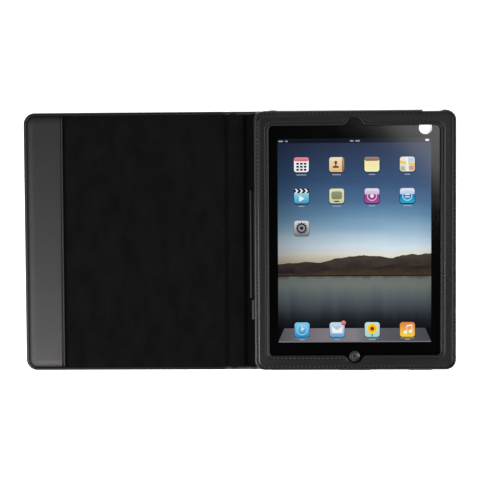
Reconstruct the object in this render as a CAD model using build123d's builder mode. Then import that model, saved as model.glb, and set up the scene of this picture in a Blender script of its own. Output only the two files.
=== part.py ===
# Folio case for a 9.7 inch tablet, lying open and flat with its outside down.
# Units are millimetres. +X runs from the front cover to the tray, +Y to the top of the tablet,
# +Z up. The origin is on the floor below the middle of the open case.
from build123d import *
import os

os.makedirs("parts", exist_ok=True)

# ---------------------------------------------------------------- driving dimensions
case_half_width = 209.5  # half of the open case, along X
case_half_height = 126.2  # half of the cover, spine and back panel, along Y
cover_corner = 11.0  # radius at the free corners of the front cover
tray_corner = 9.5  # radius at the right corners of the tray

skin = 0.9  # outer leather
hem = 3.0  # leather turned in over the edges of the boards
gap = 0.1  # side gap round boards and pads that sit inside a turned edge

cover_hinge_x = -10.8  # fold between the front cover and the spine
spine_hinge_x = 8.0  # fold between the spine and the tray
fold_half = 2.5  # half the width of each soft fold
fold_lining = 0.5

cover_board_top = 2.3
cover_foam_top = 2.7
cover_top = 3.2  # inner face of the front cover
foam_inset = 6.0  # the foam stops short of the edges, so that the lining slopes down to them
band_inner_x = -171.0  # inner edge of the leather band on the free edge
band_top = 4.2

spine_board_top = 1.8
spine_top = 2.3

back_board_top = 2.2
back_top = 2.9  # floor of the bay that holds the tablet
frame_bottom = 13.1
frame_board_top = 13.9
frame_top = 14.7
frame_ridge_top = 15.0

frame_x0, frame_x1 = 15.6, 209.5  # outside of the front frame
frame_half_height = 124.7
frame_corner_left = 9.5
wall_half_height = 125.7  # the side walls bulge past the frame
wall_start_x = 24.0
bay_half_height = 121.3
bay_x1 = 205.7
bay_corner = 7.5

tablet_x, tablet_y = 112.1, 0.0
tablet_width, tablet_height = 185.7, 241.2
tablet_bottom, tablet_glass, tablet_top = 3.4, 11.4, 12.2
tablet_corner = 10.0
screen_width, screen_height, screen_depth = 147.5, 196.6, 0.3
button_z = 7.8  # height of the keys in the tablet's edge

window_width, window_height, window_corner = 164.4, 221.4, 4.0
window_x = 112.1
sensor_notch_r, sensor_notch_y = 8.5, 109.3
home_notch_r, home_notch_y = 7.6, -110.5
notch_shoulder = 5.0

camera_x, camera_y = 180.4, 108.2
camera_r = 8.7  # through the back panel, wide enough not to shade the tablet's own hole
tablet_camera_r = 6.4
home_x, home_y, home_r = 112.1, -112.0, 5.2

power_x, power_cut_width = 187.3, 20.6
headphone_x, headphone_r = 34.0, 4.3
dock_width, dock_slot_height = 30.0, 6.6
speaker_x, speaker_width = 176.0, 24.0
volume_y, volume_length = 80.0, 24.2
switch_y, switch_length, switch_travel = 99.45, 4.5, 1.5
side_slot_y0, side_slot_y1, side_slot_height = 64.0, 106.0, 6.0

flap_y0, flap_y1 = -54.6, 49.2
flap_hinge_x, flap_hinge_z = 14.5, 2.3
tab_y0, tab_y1 = -75.7, -56.6


# ---------------------------------------------------------------- shared outlines
def block(x0, x1, y0, y1):
    """A rectangle between four limits, drawn in the open sketch."""
    with Locations(((x0 + x1) / 2, (y0 + y1) / 2)):
        return Rectangle(x1 - x0, y1 - y0)


def round_corners(sketch, radius, side):
    """Round the two outermost corners on one side of the open sketch: side 0 is -X, side -1 is +X."""
    fillet(sketch.vertices().group_by(Axis.X)[side], radius)


# ---------------------------------------------------------------- front cover
with BuildPart() as cover_skin:
    with BuildSketch() as outline:
        block(-case_half_width, cover_hinge_x - fold_half, -case_half_height, case_half_height)
        round_corners(outline, cover_corner, 0)
    extrude(amount=cover_top + gap)
    with BuildSketch(Plane.XY.offset(skin)) as pocket:
        block(
            -case_half_width + hem,
            cover_hinge_x - fold_half + 1,
            -case_half_height + hem,
            case_half_height - hem,
        )
        round_corners(pocket, cover_corner - hem, 0)
    extrude(amount=cover_top, mode=Mode.SUBTRACT)
    rim = cover_skin.faces().sort_by(Axis.Z)[-1].edges()
    fillet(rim.sort_by(Axis.Y)[-1], 0.4)
cover_skin.part.label = "cover_skin"


def cover_layer(bottom, top, inset):
    """One flat layer inside the turned edge of the front cover."""
    with BuildPart() as layer:
        with BuildSketch(Plane.XY.offset(bottom)) as outline:
            block(
                -case_half_width + hem + inset,
                cover_hinge_x - fold_half - (inset - gap),
                -case_half_height + hem + inset,
                case_half_height - hem - inset,
            )
            round_corners(outline, max(cover_corner - hem - inset, 2.0), 0)
        extrude(amount=top - bottom)
    return layer


cover_board = cover_layer(skin, cover_board_top, gap)
cover_board.part.label = "cover_board"
cover_foam = cover_layer(cover_board_top, cover_foam_top, foam_inset)
cover_foam.part.label = "cover_foam"
cover_lining = cover_layer(cover_foam_top, cover_top, gap)
cover_lining.part.label = "cover_lining"

with BuildPart() as cover_band:
    with BuildSketch(Plane.XY.offset(cover_top)) as outline:
        block(
            -case_half_width + hem + gap,
            band_inner_x,
            -case_half_height + hem + gap,
            case_half_height - hem - gap,
        )
        round_corners(outline, cover_corner - hem - gap, 0)
    extrude(amount=band_top - cover_top)
    fillet(cover_band.faces().sort_by(Axis.Z)[-1].edges(), 0.45)
cover_band.part.label = "cover_band"

# ---------------------------------------------------------------- spine
spine_x0 = cover_hinge_x + fold_half
spine_x1 = spine_hinge_x - fold_half

with BuildPart() as spine_skin:
    with BuildSketch():
        block(spine_x0, spine_x1, -case_half_height, case_half_height)
    extrude(amount=spine_top + gap)
    with BuildSketch(Plane.XY.offset(skin)):
        block(spine_x0 - 1, spine_x1 + 1, -case_half_height + hem, case_half_height - hem)
    extrude(amount=spine_top, mode=Mode.SUBTRACT)
spine_skin.part.label = "spine_skin"


def spine_layer(bottom, top):
    """One flat layer between the turned ends of the spine."""
    with BuildPart() as layer:
        with BuildSketch(Plane.XY.offset(bottom)):
            block(
                spine_x0,
                spine_x1,
                -case_half_height + hem + gap,
                case_half_height - hem - gap,
            )
        extrude(amount=top - bottom)
    return layer


spine_board = spine_layer(skin, spine_board_top)
spine_board.part.label = "spine_board"
spine_lining = spine_layer(spine_board_top, spine_top)
spine_lining.part.label = "spine_lining"


# ---------------------------------------------------------------- soft folds
def fold_strip(hinge_x, bottom, top):
    """A strip of leather or lining that bends along one fold."""
    with BuildPart() as strip:
        with BuildSketch(Plane.XY.offset(bottom)):
            block(
                hinge_x - fold_half,
                hinge_x + fold_half,
                -case_half_height,
                case_half_height,
            )
        extrude(amount=top - bottom)
    return strip


cover_fold_skin = fold_strip(cover_hinge_x, 0, skin)
cover_fold_skin.part.label = "cover_fold_skin"
cover_fold_lining = fold_strip(cover_hinge_x, skin, skin + fold_lining)
cover_fold_lining.part.label = "cover_fold_lining"
tray_fold_skin = fold_strip(spine_hinge_x, 0, skin)
tray_fold_skin.part.label = "tray_fold_skin"
tray_fold_lining = fold_strip(spine_hinge_x, skin, skin + fold_lining)
tray_fold_lining.part.label = "tray_fold_lining"


# ---------------------------------------------------------------- back panel of the tray
def back_layer(bottom, top, x0, x1, half_height, corner):
    """One layer of the back panel, with the hole for the camera."""
    with BuildPart() as layer:
        with BuildSketch(Plane.XY.offset(bottom)) as outline:
            block(x0, x1, -half_height, half_height)
            round_corners(outline, corner, -1)
            with Locations((camera_x, camera_y)):
                Circle(camera_r, mode=Mode.SUBTRACT)
        extrude(amount=top - bottom)
    return layer


back_x0 = spine_hinge_x + fold_half
back_skin = back_layer(0, skin, back_x0, frame_x1 - 0.4, case_half_height, tray_corner)
back_skin.part.label = "back_skin"
back_board = back_layer(
    skin, back_board_top, back_x0, frame_x1 - 1.6, wall_half_height - 1.9, tray_corner - 1.2
)
back_board.part.label = "back_board"
bay_lining = back_layer(
    back_board_top, back_top, flap_hinge_x + 0.9, bay_x1 - gap, bay_half_height - gap, bay_corner
)
bay_lining.part.label = "bay_lining"

# ---------------------------------------------------------------- side walls of the tray
wall_split_x = frame_x1 - tray_corner - 2
wall_split_y = bay_half_height - bay_corner - 1


def rounded_wall(y_sign):
    """Top or bottom wall, with its outer corner. y_sign is 1 at the top and -1 at the bottom."""
    with BuildPart() as wall:
        with BuildSketch(Plane.XY.offset(back_board_top)) as outline:
            block(wall_start_x, frame_x1, -wall_half_height, wall_half_height)
            round_corners(outline, tray_corner, -1)
            with BuildSketch(mode=Mode.SUBTRACT) as bay:
                block(0, bay_x1, -bay_half_height, bay_half_height)
                round_corners(bay, bay_corner, -1)
            keep = sorted((wall_split_y * y_sign, 200 * y_sign))
            with Locations((100, (keep[0] + keep[1]) / 2)):
                Rectangle(400, keep[1] - keep[0], mode=Mode.INTERSECT)
        extrude(amount=frame_bottom - back_board_top)
        outside = wall.edges().filter_by(
            lambda e: abs(e.center().Z - 7.65) > 5
            and (e.center().Y * y_sign > wall_half_height - 0.1 or e.center().X > bay_x1 + 1.5)
            and abs(e.center().Y * y_sign - wall_split_y) > 0.5
        )
        fillet(outside, 1.2)
        with BuildSketch(Plane.XY.offset(back_board_top)):
            edge = sorted((bay_half_height * y_sign, (frame_half_height - 0.4) * y_sign))
            block(frame_x0 + 2, wall_start_x, edge[0], edge[1])
        extrude(amount=frame_bottom - back_board_top)
    return wall


with BuildPart() as wall_top:
    add(rounded_wall(1).part)
    # open notch for the power key
    with BuildSketch(Plane.XY.offset(4.4)):
        block(power_x - power_cut_width / 2, power_x + power_cut_width / 2, 118, 130)
    extrude(amount=20, mode=Mode.SUBTRACT)
    # round hole for the headphone plug
    with Locations(Plane(origin=(headphone_x, 130, button_z), z_dir=(0, 1, 0))):
        Cylinder(headphone_r, 30, mode=Mode.SUBTRACT)
wall_top.part.label = "wall_top"

with BuildPart() as wall_bottom:
    add(rounded_wall(-1).part)
    with BuildSketch(Plane(origin=(0, -115, 0), x_dir=(1, 0, 0), z_dir=(0, -1, 0))):
        with Locations((tablet_x, button_z)):
            RectangleRounded(dock_width, dock_slot_height, 1.6)
        with Locations((speaker_x, button_z)):
            RectangleRounded(speaker_width, dock_slot_height, 3.2)
    extrude(amount=20, mode=Mode.SUBTRACT)
wall_bottom.part.label = "wall_bottom"

with BuildPart() as wall_right:
    with BuildSketch(Plane.XY.offset(back_board_top)):
        block(bay_x1, frame_x1, -wall_split_y, wall_split_y)
    extrude(amount=frame_bottom - back_board_top)
    fillet(wall_right.edges().filter_by(Axis.Y).group_by(Axis.X)[-1], 1.2)
    with BuildSketch(Plane(origin=(200, 0, 0), x_dir=(0, 1, 0), z_dir=(1, 0, 0))):
        with Locations(((side_slot_y0 + side_slot_y1) / 2, button_z)):
            RectangleRounded(side_slot_y1 - side_slot_y0, side_slot_height, 2.5)
    extrude(amount=20, mode=Mode.SUBTRACT)
wall_right.part.label = "wall_right"


# ---------------------------------------------------------------- front frame
def frame_outline(inset):
    """Outside of the frame, drawn in the open sketch."""
    with BuildSketch() as outline:
        block(frame_x0 + inset, frame_x1 - inset, -frame_half_height + inset, frame_half_height - inset)
        fillet(outline.vertices().group_by(Axis.X)[0], frame_corner_left - inset)
        fillet(outline.vertices().group_by(Axis.X)[-1], tray_corner - inset)
        # shallow cut in the edge over the power key
        with Locations((power_x, frame_half_height - inset + 1.0)):
            RectangleRounded(power_cut_width, 4.0, 1.9, mode=Mode.SUBTRACT)
    return outline.sketch


def frame_window(grow):
    """Window over the screen, with a notch for the sensor and one for the home key."""
    with BuildSketch() as outline:
        with Locations((window_x, 0)):
            RectangleRounded(
                window_width + 2 * grow, window_height + 2 * grow, window_corner + grow
            )
        with Locations((window_x, sensor_notch_y)):
            Circle(sensor_notch_r + grow)
        with Locations((window_x, home_notch_y)):
            Circle(home_notch_r + grow)
        edge = window_height / 2 + grow
        shoulders = outline.vertices().filter_by(
            lambda v: abs(abs(v.Y) - edge) < 0.01 and abs(v.X - window_x) < 15
        )
        fillet(shoulders, notch_shoulder - grow)
    return outline.sketch


def frame_layer(bottom, top, outer_inset, window_grow, edge_round):
    with BuildPart() as layer:
        with BuildSketch(Plane.XY.offset(bottom)):
            add(frame_outline(outer_inset))
            add(frame_window(window_grow), mode=Mode.SUBTRACT)
        extrude(amount=top - bottom)
        if edge_round:
            fillet(layer.faces().sort_by(Axis.Z)[-1].edges(), edge_round)
    return layer


frame_board = frame_layer(frame_bottom, frame_board_top, 0.6, 0.6, 0)
frame_board.part.label = "frame_board"
frame_leather = frame_layer(frame_board_top, frame_top, 0, 0, 0)
frame_leather.part.label = "frame_leather"

with BuildPart() as frame_piping:
    with BuildSketch(Plane.XY.offset(frame_top)):
        add(frame_outline(0.15))
        add(frame_outline(1.65), mode=Mode.SUBTRACT)
    extrude(amount=frame_ridge_top - frame_top)
frame_piping.part.label = "frame_piping"

with BuildPart() as window_hem:
    with BuildSketch(Plane.XY.offset(frame_top)):
        add(frame_window(1.9))
        add(frame_window(0.15), mode=Mode.SUBTRACT)
    extrude(amount=frame_ridge_top - frame_top)
window_hem.part.label = "window_hem"

with BuildPart() as frame_edge_tab:
    with BuildSketch(Plane.XY.offset(12.45)):
        block(12.9, 15.9, tab_y0, tab_y1)
    extrude(amount=frame_bottom - 12.45)
    with BuildSketch(Plane.XY.offset(frame_bottom)):
        block(12.9, frame_x0 - gap, tab_y0, tab_y1)
    extrude(amount=0.7)
    fillet(frame_edge_tab.edges().filter_by(Axis.Y).group_by(Axis.X)[0], 0.55)
frame_edge_tab.part.label = "frame_edge_tab"

# ---------------------------------------------------------------- closing flap
with BuildPart() as closure_flap:
    with BuildSketch(Plane(origin=(0, flap_y1, 0), x_dir=(1, 0, 0), z_dir=(0, -1, 0))):
        with BuildLine():
            ThreePointArc(
                (flap_hinge_x, flap_hinge_z + 0.4), (11.15, 6.4), (12.6, 10.9)
            )
            ThreePointArc((12.6, 10.9), (13.75, 12.1), (15.4, 12.62))
            Line((15.4, 12.62), (23.6, 12.62))
        trace(line_width=0.64)
    extrude(amount=flap_y1 - flap_y0)
closure_flap.part.label = "closure_flap"

# ---------------------------------------------------------------- tablet dummy
key_plane_top = Plane(
    origin=(power_x, tablet_height / 2 + 0.5, button_z), x_dir=(1, 0, 0), z_dir=(0, 1, 0)
)
key_plane_side = Plane(
    origin=(tablet_x + tablet_width / 2 + 0.5, 0, button_z), x_dir=(0, 1, 0), z_dir=(1, 0, 0)
)
edge_x = tablet_x + tablet_width / 2

with BuildPart() as tablet_shell:
    with BuildSketch(Plane.XY.offset(tablet_bottom)):
        with Locations((tablet_x, tablet_y)):
            RectangleRounded(tablet_width, tablet_height, tablet_corner)
        with Locations((camera_x, camera_y)):
            Circle(tablet_camera_r, mode=Mode.SUBTRACT)
    extrude(amount=tablet_glass - tablet_bottom)
    back_loop = tablet_shell.faces().sort_by(Axis.Z)[0].outer_wire().edges()
    fillet(back_loop, 3.0)
    # seats for the keys
    with Locations((home_x, home_y, tablet_glass)):
        Cylinder(home_r + 0.15, 2.0, mode=Mode.SUBTRACT)
    with BuildSketch(key_plane_top):
        SlotOverall(10.4, 2.6)
    extrude(amount=-1.9, mode=Mode.SUBTRACT)
    with BuildSketch(key_plane_side):
        with Locations((volume_y, 0)):
            SlotOverall(volume_length + 0.7, 2.8)
        with Locations((switch_y - switch_travel / 2, 0)):
            SlotOverall(switch_length + switch_travel + 0.7, 2.8)
    extrude(amount=-2.3, mode=Mode.SUBTRACT)
tablet_shell.part.label = "tablet_shell"

with BuildPart() as tablet_glass_face:
    with BuildSketch(Plane.XY.offset(tablet_glass)):
        with Locations((tablet_x, tablet_y)):
            RectangleRounded(tablet_width, tablet_height, tablet_corner)
        with Locations((camera_x, camera_y)):
            Circle(tablet_camera_r, mode=Mode.SUBTRACT)
        with Locations((home_x, home_y)):
            Circle(home_r + 0.15, mode=Mode.SUBTRACT)
    extrude(amount=tablet_top - tablet_glass)
    with BuildSketch(Plane.XY.offset(tablet_top)):
        with Locations((tablet_x, tablet_y)):
            Rectangle(screen_width, screen_height)
    extrude(amount=-screen_depth, mode=Mode.SUBTRACT)
tablet_glass_face.part.label = "tablet_glass_face"

with BuildPart() as screen_print:
    with BuildSketch(Plane.XY.offset(tablet_top - screen_depth)):
        with Locations((tablet_x, tablet_y)):
            Rectangle(screen_width, screen_height)
    extrude(amount=screen_depth)
screen_print.part.label = "screen_print"

with BuildPart() as home_button:
    with BuildSketch(Plane.XY.offset(10.8)):
        with Locations((home_x, home_y)):
            Circle(home_r)
    extrude(amount=1.35)
    fillet(home_button.faces().sort_by(Axis.Z)[-1].edges(), 0.2)
    # shallow dish for the thumb
    with Locations((home_x, home_y, 12.15 + 30 - 0.3)):
        Sphere(30, mode=Mode.SUBTRACT)
home_button.part.label = "home_button"

with BuildPart() as power_button:
    with BuildSketch(key_plane_top.offset(-1.5)):
        SlotOverall(10.0, 2.2)
    extrude(amount=1.5)
    fillet(power_button.faces().sort_by(Axis.Y)[-1].edges(), 0.3)
power_button.part.label = "power_button"

with BuildPart() as volume_rocker:
    with BuildSketch(key_plane_side.offset(-1.5)):
        with Locations((volume_y, 0)):
            SlotOverall(volume_length, 2.2)
    extrude(amount=1.5)
    fillet(volume_rocker.faces().sort_by(Axis.X)[-1].edges(), 0.3)
volume_rocker.part.label = "volume_rocker"

with BuildPart() as side_switch:
    with BuildSketch(key_plane_side.offset(-1.6)):
        with Locations((switch_y, 0)):
            SlotOverall(switch_length, 2.2)
    extrude(amount=1.5)
    fillet(side_switch.faces().sort_by(Axis.X)[-1].edges(), 0.3)
side_switch.part.label = "side_switch"

# ---------------------------------------------------------------- files
export_step(cover_skin.part, "parts/cover_skin.step")
export_step(cover_board.part, "parts/cover_board.step")
export_step(cover_foam.part, "parts/cover_foam.step")
export_step(cover_lining.part, "parts/cover_lining.step")
export_step(cover_band.part, "parts/cover_band.step")
export_step(spine_skin.part, "parts/spine_skin.step")
export_step(spine_board.part, "parts/spine_board.step")
export_step(spine_lining.part, "parts/spine_lining.step")
export_step(cover_fold_skin.part, "parts/cover_fold_skin.step")
export_step(cover_fold_lining.part, "parts/cover_fold_lining.step")
export_step(tray_fold_skin.part, "parts/tray_fold_skin.step")
export_step(tray_fold_lining.part, "parts/tray_fold_lining.step")
export_step(back_skin.part, "parts/back_skin.step")
export_step(back_board.part, "parts/back_board.step")
export_step(bay_lining.part, "parts/bay_lining.step")
export_step(wall_top.part, "parts/wall_top.step")
export_step(wall_bottom.part, "parts/wall_bottom.step")
export_step(wall_right.part, "parts/wall_right.step")
export_step(frame_board.part, "parts/frame_board.step")
export_step(frame_leather.part, "parts/frame_leather.step")
export_step(frame_piping.part, "parts/frame_piping.step")
export_step(window_hem.part, "parts/window_hem.step")
export_step(frame_edge_tab.part, "parts/frame_edge_tab.step")
export_step(closure_flap.part, "parts/closure_flap.step")
export_step(tablet_shell.part, "parts/tablet_shell.step")
export_step(tablet_glass_face.part, "parts/tablet_glass_face.step")
export_step(screen_print.part, "parts/screen_print.step")
export_step(home_button.part, "parts/home_button.step")
export_step(power_button.part, "parts/power_button.step")
export_step(volume_rocker.part, "parts/volume_rocker.step")
export_step(side_switch.part, "parts/side_switch.step")
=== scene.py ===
import math
import random

import bmesh
import bpy
import numpy as np
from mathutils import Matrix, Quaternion, Vector


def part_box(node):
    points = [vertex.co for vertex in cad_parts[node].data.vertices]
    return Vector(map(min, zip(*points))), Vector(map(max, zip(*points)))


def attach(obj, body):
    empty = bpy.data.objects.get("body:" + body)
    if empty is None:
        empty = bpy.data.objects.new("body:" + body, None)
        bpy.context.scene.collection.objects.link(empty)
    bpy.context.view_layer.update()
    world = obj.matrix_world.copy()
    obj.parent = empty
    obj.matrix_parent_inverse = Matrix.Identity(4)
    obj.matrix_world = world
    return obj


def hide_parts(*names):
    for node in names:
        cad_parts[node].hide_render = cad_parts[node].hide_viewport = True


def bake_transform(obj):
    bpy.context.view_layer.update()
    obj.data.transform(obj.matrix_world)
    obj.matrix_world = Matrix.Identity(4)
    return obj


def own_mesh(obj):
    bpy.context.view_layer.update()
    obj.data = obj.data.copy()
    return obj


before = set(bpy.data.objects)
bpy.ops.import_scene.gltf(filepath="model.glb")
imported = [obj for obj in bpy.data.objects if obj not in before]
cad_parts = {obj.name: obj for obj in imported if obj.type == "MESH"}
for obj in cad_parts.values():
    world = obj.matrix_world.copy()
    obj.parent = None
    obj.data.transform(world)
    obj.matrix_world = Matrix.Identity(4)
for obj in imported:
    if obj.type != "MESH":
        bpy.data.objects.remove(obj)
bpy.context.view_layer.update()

# Local building is in millimetres and is scaled once, when a mesh is made.
MM = 0.001
UP = np.array([0, 0, 1.0])


def cad(node):
    """Lowest and highest corner of a CAD node, in millimetres."""
    low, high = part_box(node)
    return np.array(low) / MM, np.array(high) / MM


def middle_x(node):
    low, high = cad(node)
    return (low[0] + high[0]) / 2


# ---------------------------------------------------------------- sizes, read from the frame
cover_lo, cover_hi = cad("cover_skin")
spine_hi = cad("spine_skin")[1]
back_hi = cad("back_skin")[1]
band_lo, band_hi = cad("cover_band")
bay_lo, bay_hi = cad("bay_lining")
frame_lo, frame_hi = cad("frame_leather")
flap_lo, flap_hi = cad("closure_flap")
tab_lo, tab_hi = cad("frame_edge_tab")
screen_lo, screen_hi = cad("screen_print")
home_lo, home_hi = cad("home_button")
shell_lo, shell_hi = cad("tablet_shell")
wall_right_lo, wall_right_hi = cad("wall_right")
wall_top_hi = cad("wall_top")[1]
wall_bottom_lo = cad("wall_bottom")[0]

half_height = cover_hi[1]
fold_cover_x = middle_x("cover_fold_skin")
fold_tray_x = middle_x("tray_fold_skin")
spine_mid_x = middle_x("spine_skin")
window_x = middle_x("tablet_glass_face")
power_x = wall_top_hi[0] - 22.2
HEADPHONE_X, SPEAKER_X, SIDE_KEYS_Y = 34.0, 176.0, 85.0

COVER_CORNER = 11.0
TRAY_CORNER = 9.5
BAY_CORNER = 7.5
RIM_WIDTH = 2.9
WINDOW_HALF = (82.2, 110.7)
WINDOW_CORNER = 4.0
CAMERA_AT = (180.4, 108.2)
CAMERA_RADIUS = 8.7
TABLET_HOLE_RADIUS = 6.4
STITCH_PITCH = 4.0
BAND_BOTTOM = 2.35
KEY_Z = 7.8


# ---------------------------------------------------------------- materials
class Nodes:
    """A short way to write a material's nodes."""

    def __init__(self, name):
        self.material = bpy.data.materials.new(name)
        self.material.use_nodes = True
        self.tree = self.material.node_tree
        self.tree.nodes.clear()
        self.out = self.tree.nodes.new("ShaderNodeOutputMaterial")
        self.where = self.add("TexCoord").outputs["Object"]

    def add(self, kind, **values):
        """A node, with its inputs and its settings by name. An underscore stands for a space."""
        node = self.tree.nodes.new("ShaderNode" + kind)
        for key, value in values.items():
            label = key.replace("_", " ")
            if label in node.inputs:
                self.put(node.inputs[label], value)
            else:
                setattr(node, key, value)
        return node

    def put(self, socket, value):
        if isinstance(value, bpy.types.NodeSocket):
            self.tree.links.new(value, socket)
        elif isinstance(value, tuple) and len(value) == 3 and socket.type == "RGBA":
            socket.default_value = (*value, 1.0)
        else:
            socket.default_value = value

    def math(self, operation, a, b):
        node = self.add("Math", operation=operation)
        self.put(node.inputs[0], a)
        self.put(node.inputs[1], b)
        return node.outputs[0]

    def times(self, a, b):
        return self.math("MULTIPLY", a, b)

    def noise(self, scale, detail, roughness=0.5, vector=None, output="Fac"):
        vector = vector or self.where
        node = self.add("TexNoise", Vector=vector, Scale=scale, Detail=detail, Roughness=roughness)
        return node.outputs[output]

    def stretched(self, scale):
        mapping = self.add("Mapping", Vector=self.where)
        mapping.inputs["Scale"].default_value = scale
        return mapping.outputs[0]

    def ramp(self, value, stops):
        """The value turned into a tone or a colour, by stops of (place, tone)."""
        node = self.add("ValToRGB")
        elements = node.color_ramp.elements
        while len(elements) < len(stops):
            elements.new(0.5)
        for element, (at, tone) in zip(elements, stops):
            element.position = at
            element.color = (*(tone if isinstance(tone, tuple) else (tone, tone, tone)), 1.0)
        self.put(node.inputs[0], value)
        return node.outputs[0]

    def mix(self, factor, a, b, blend="MIX"):
        node = self.add("Mix", data_type="RGBA", blend_type=blend)
        self.put(node.inputs[0], factor)
        self.put(node.inputs[6], a)
        self.put(node.inputs[7], b)
        return node.outputs[2]

    def bump(self, height, strength, distance):
        return self.add("Bump", Strength=strength, Distance=distance, Height=height).outputs["Normal"]

    def surface(self, tone, roughness, **values):
        """Ends the tree in one shader and gives the finished material."""
        shader = self.add("BsdfPrincipled", Base_Color=tone, Roughness=roughness, **values)
        self.tree.links.new(shader.outputs[0], self.out.inputs["Surface"])
        return self.material


BLACK = (0.0, 0.0, 0.0)


def scaled(tone, factor):
    return tuple(c * factor for c in tone)


def leather(name, base, roughness, grain=0.9, depth=0.00006, wear=0.5, specular=0.5, folded=1.3):
    """Grained leather: cells with creases between them, fine pores, uneven dye, paler edges, dull folds."""
    n = Nodes(name)
    bent = n.add("MixRGB", blend_type="ADD", Fac=0.0016)
    n.put(bent.inputs[1], n.where)
    n.put(bent.inputs[2], n.noise(260.0, 3.0, output="Color"))
    cells = n.add("TexVoronoi", feature="DISTANCE_TO_EDGE", Vector=bent.outputs[0], Scale=1000.0 / grain)
    cell = n.ramp(cells.outputs["Distance"], [(0.0, 0.0), (0.16, 0.75), (0.6, 1.0)])
    height = n.math("ADD", n.times(cell, 0.75), n.times(n.noise(3200.0, 2.0), 0.25))
    height = n.math("ADD", height, n.times(n.noise(90.0, 6.0, 0.6), folded))
    patches = n.noise(22.0, 4.0)
    tone = n.ramp(patches, [(0.3, scaled(base, 0.85)), (0.7, scaled(base, 1.16))])
    tone = n.mix(n.times(cell, 0.45), scaled(base, 0.62), tone)
    edge = n.add("NewGeometry").outputs["Pointiness"]
    worn = n.ramp(edge, [(0.5, 0.0), (0.62, 1.0)])
    tone = n.mix(n.times(worn, wear), tone, scaled(base, 2.4))
    rough = n.ramp(n.times(cell, patches), [(0.1, min(roughness + 0.14, 1.0)), (0.6, roughness)])
    # Painted shade: where the stored attribute is above 0, the leather is painted darker and its shine
    # lowered; below 0 only its shine is raised.
    shade_and_polish = n.add("Attribute", attribute_name="painted_shade_and_polish").outputs["Fac"]
    tone = n.mix(n.times(shade_and_polish, 0.7), tone, scaled(base, 0.2))
    clear = n.math("SUBTRACT", 1.0, n.times(shade_and_polish, 0.8))
    normal = n.bump(height, 0.85, depth)
    return n.surface(tone, rough, Specular_IOR_Level=n.times(clear, specular), Normal=normal)


def suede(name, base, sheen):
    """Microsuede: a short nap that lies this way and that, with a soft sheen at grazing angles."""
    n = Nodes(name)
    nap = n.noise(1500.0, 4.0, 0.7)
    stroke = n.noise(75.0, 5.0, 0.62, n.stretched((1.0, 0.55, 1.0)))
    tone = n.ramp(stroke, [(0.3, scaled(base, 0.45)), (0.7, scaled(base, 1.6))])
    tone = n.mix(n.times(nap, 0.5), tone, scaled(base, 1.7))
    # Painted shade: the stored attribute paints the suede darker, towards black, and takes its sheen away.
    shade_and_polish = n.add("Attribute", attribute_name="painted_shade_and_polish").outputs["Fac"]
    return n.surface(
        n.mix(n.times(shade_and_polish, 0.85), tone, BLACK),
        0.95,
        Specular_IOR_Level=0.07,
        Sheen_Weight=n.times(n.math("SUBTRACT", 1.0, shade_and_polish), sheen),
        Sheen_Roughness=0.45,
        Sheen_Tint=(0.55, 0.56, 0.6),
        Normal=n.bump(n.math("ADD", nap, n.times(stroke, 0.7)), 0.8, 0.00018),
    )


def plastic(name, base, roughness, specular=0.5):
    """Moulded plastic with a fine surface texture and faint handling marks."""
    n = Nodes(name)
    marks = n.noise(35.0, 5.0)
    rough = n.ramp(marks, [(0.35, max(roughness - 0.05, 0.02)), (0.7, roughness + 0.05)])
    tone = n.mix(marks, scaled(base, 0.93), scaled(base, 1.08))
    normal = n.bump(n.noise(2600.0, 2.0), 0.25, 0.00002)
    return n.surface(tone, rough, Specular_IOR_Level=specular, Normal=normal)


GLASS_ROUGH = 0.115


def glazed(name, base):
    """Black printed face behind a polished clear layer, with a trace of fingerprints."""
    n = Nodes(name)
    rough = n.ramp(n.noise(28.0, 6.0, 0.7), [(0.4, GLASS_ROUGH), (0.75, GLASS_ROUGH + 0.05)])
    return n.surface(base, rough, Specular_IOR_Level=0.5)


def glowing_print(name, stops, axis=1, between=(0.0, 1.0), streak=None, across=None, mottle=0.08):
    """Part of the printed picture behind the glass, made to glow though it is no lamp (painted light): a ramp
    along X or Y, with optional streaks and shading.
    """
    n = Nodes("picture_" + name)
    parts = n.add("SeparateXYZ", Vector=n.where)

    def share(k, start, span):
        return n.math("DIVIDE", n.math("SUBTRACT", parts.outputs[k], start * MM), span * MM)

    along = share(axis, between[0], between[1] - between[0])
    if streak:
        blur = n.noise(1.0, 4.0, vector=n.stretched(streak[0]))
        along = n.math("ADD", along, n.times(n.math("SUBTRACT", blur, 0.5), streak[1]))
    tone = n.ramp(n.math("MINIMUM", n.math("MAXIMUM", along, 0.0), 1.0), stops)
    if across:
        tone = n.mix(1.0, tone, n.ramp(share(0, screen_lo[0], screen_width), across), "MULTIPLY")
    tone = n.mix(n.times(n.noise(160.0, 3.0), mottle), tone, BLACK)
    # Painted light: the print glows in its own colour and is not lit by the lamps.
    glow = {"Emission_Color": tone, "Emission_Strength": 1.0}
    return n.surface(BLACK, GLASS_ROUGH, Specular_IOR_Level=0.5, **glow)


def srgb(*rgb):
    """A screen colour given from 0 to 255."""
    shares = [c / 255 for c in rgb]
    return tuple(c / 12.92 if c <= 0.04045 else ((c + 0.055) / 1.055) ** 2.4 for c in shares)


def board_material(name, base):
    """Grey board with pressed fibres."""
    n = Nodes(name)
    fibre = n.noise(900.0, 6.0, 0.8)
    tone = n.ramp(fibre, [(0.3, scaled(base, 0.7)), (0.7, scaled(base, 1.25))])
    return n.surface(tone, 0.9, Normal=n.bump(fibre, 0.5, 0.0001))


def thread_material(name, base):
    """Twisted thread."""
    n = Nodes(name)
    twist = n.add("TexWave", Vector=n.where, Scale=900.0, Distortion=1.5).outputs["Fac"]
    tone = n.mix(twist, scaled(base, 0.7), scaled(base, 1.3))
    return n.surface(tone, 0.6, Specular_IOR_Level=0.4, Normal=n.bump(twist, 0.6, 0.00006))


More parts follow.
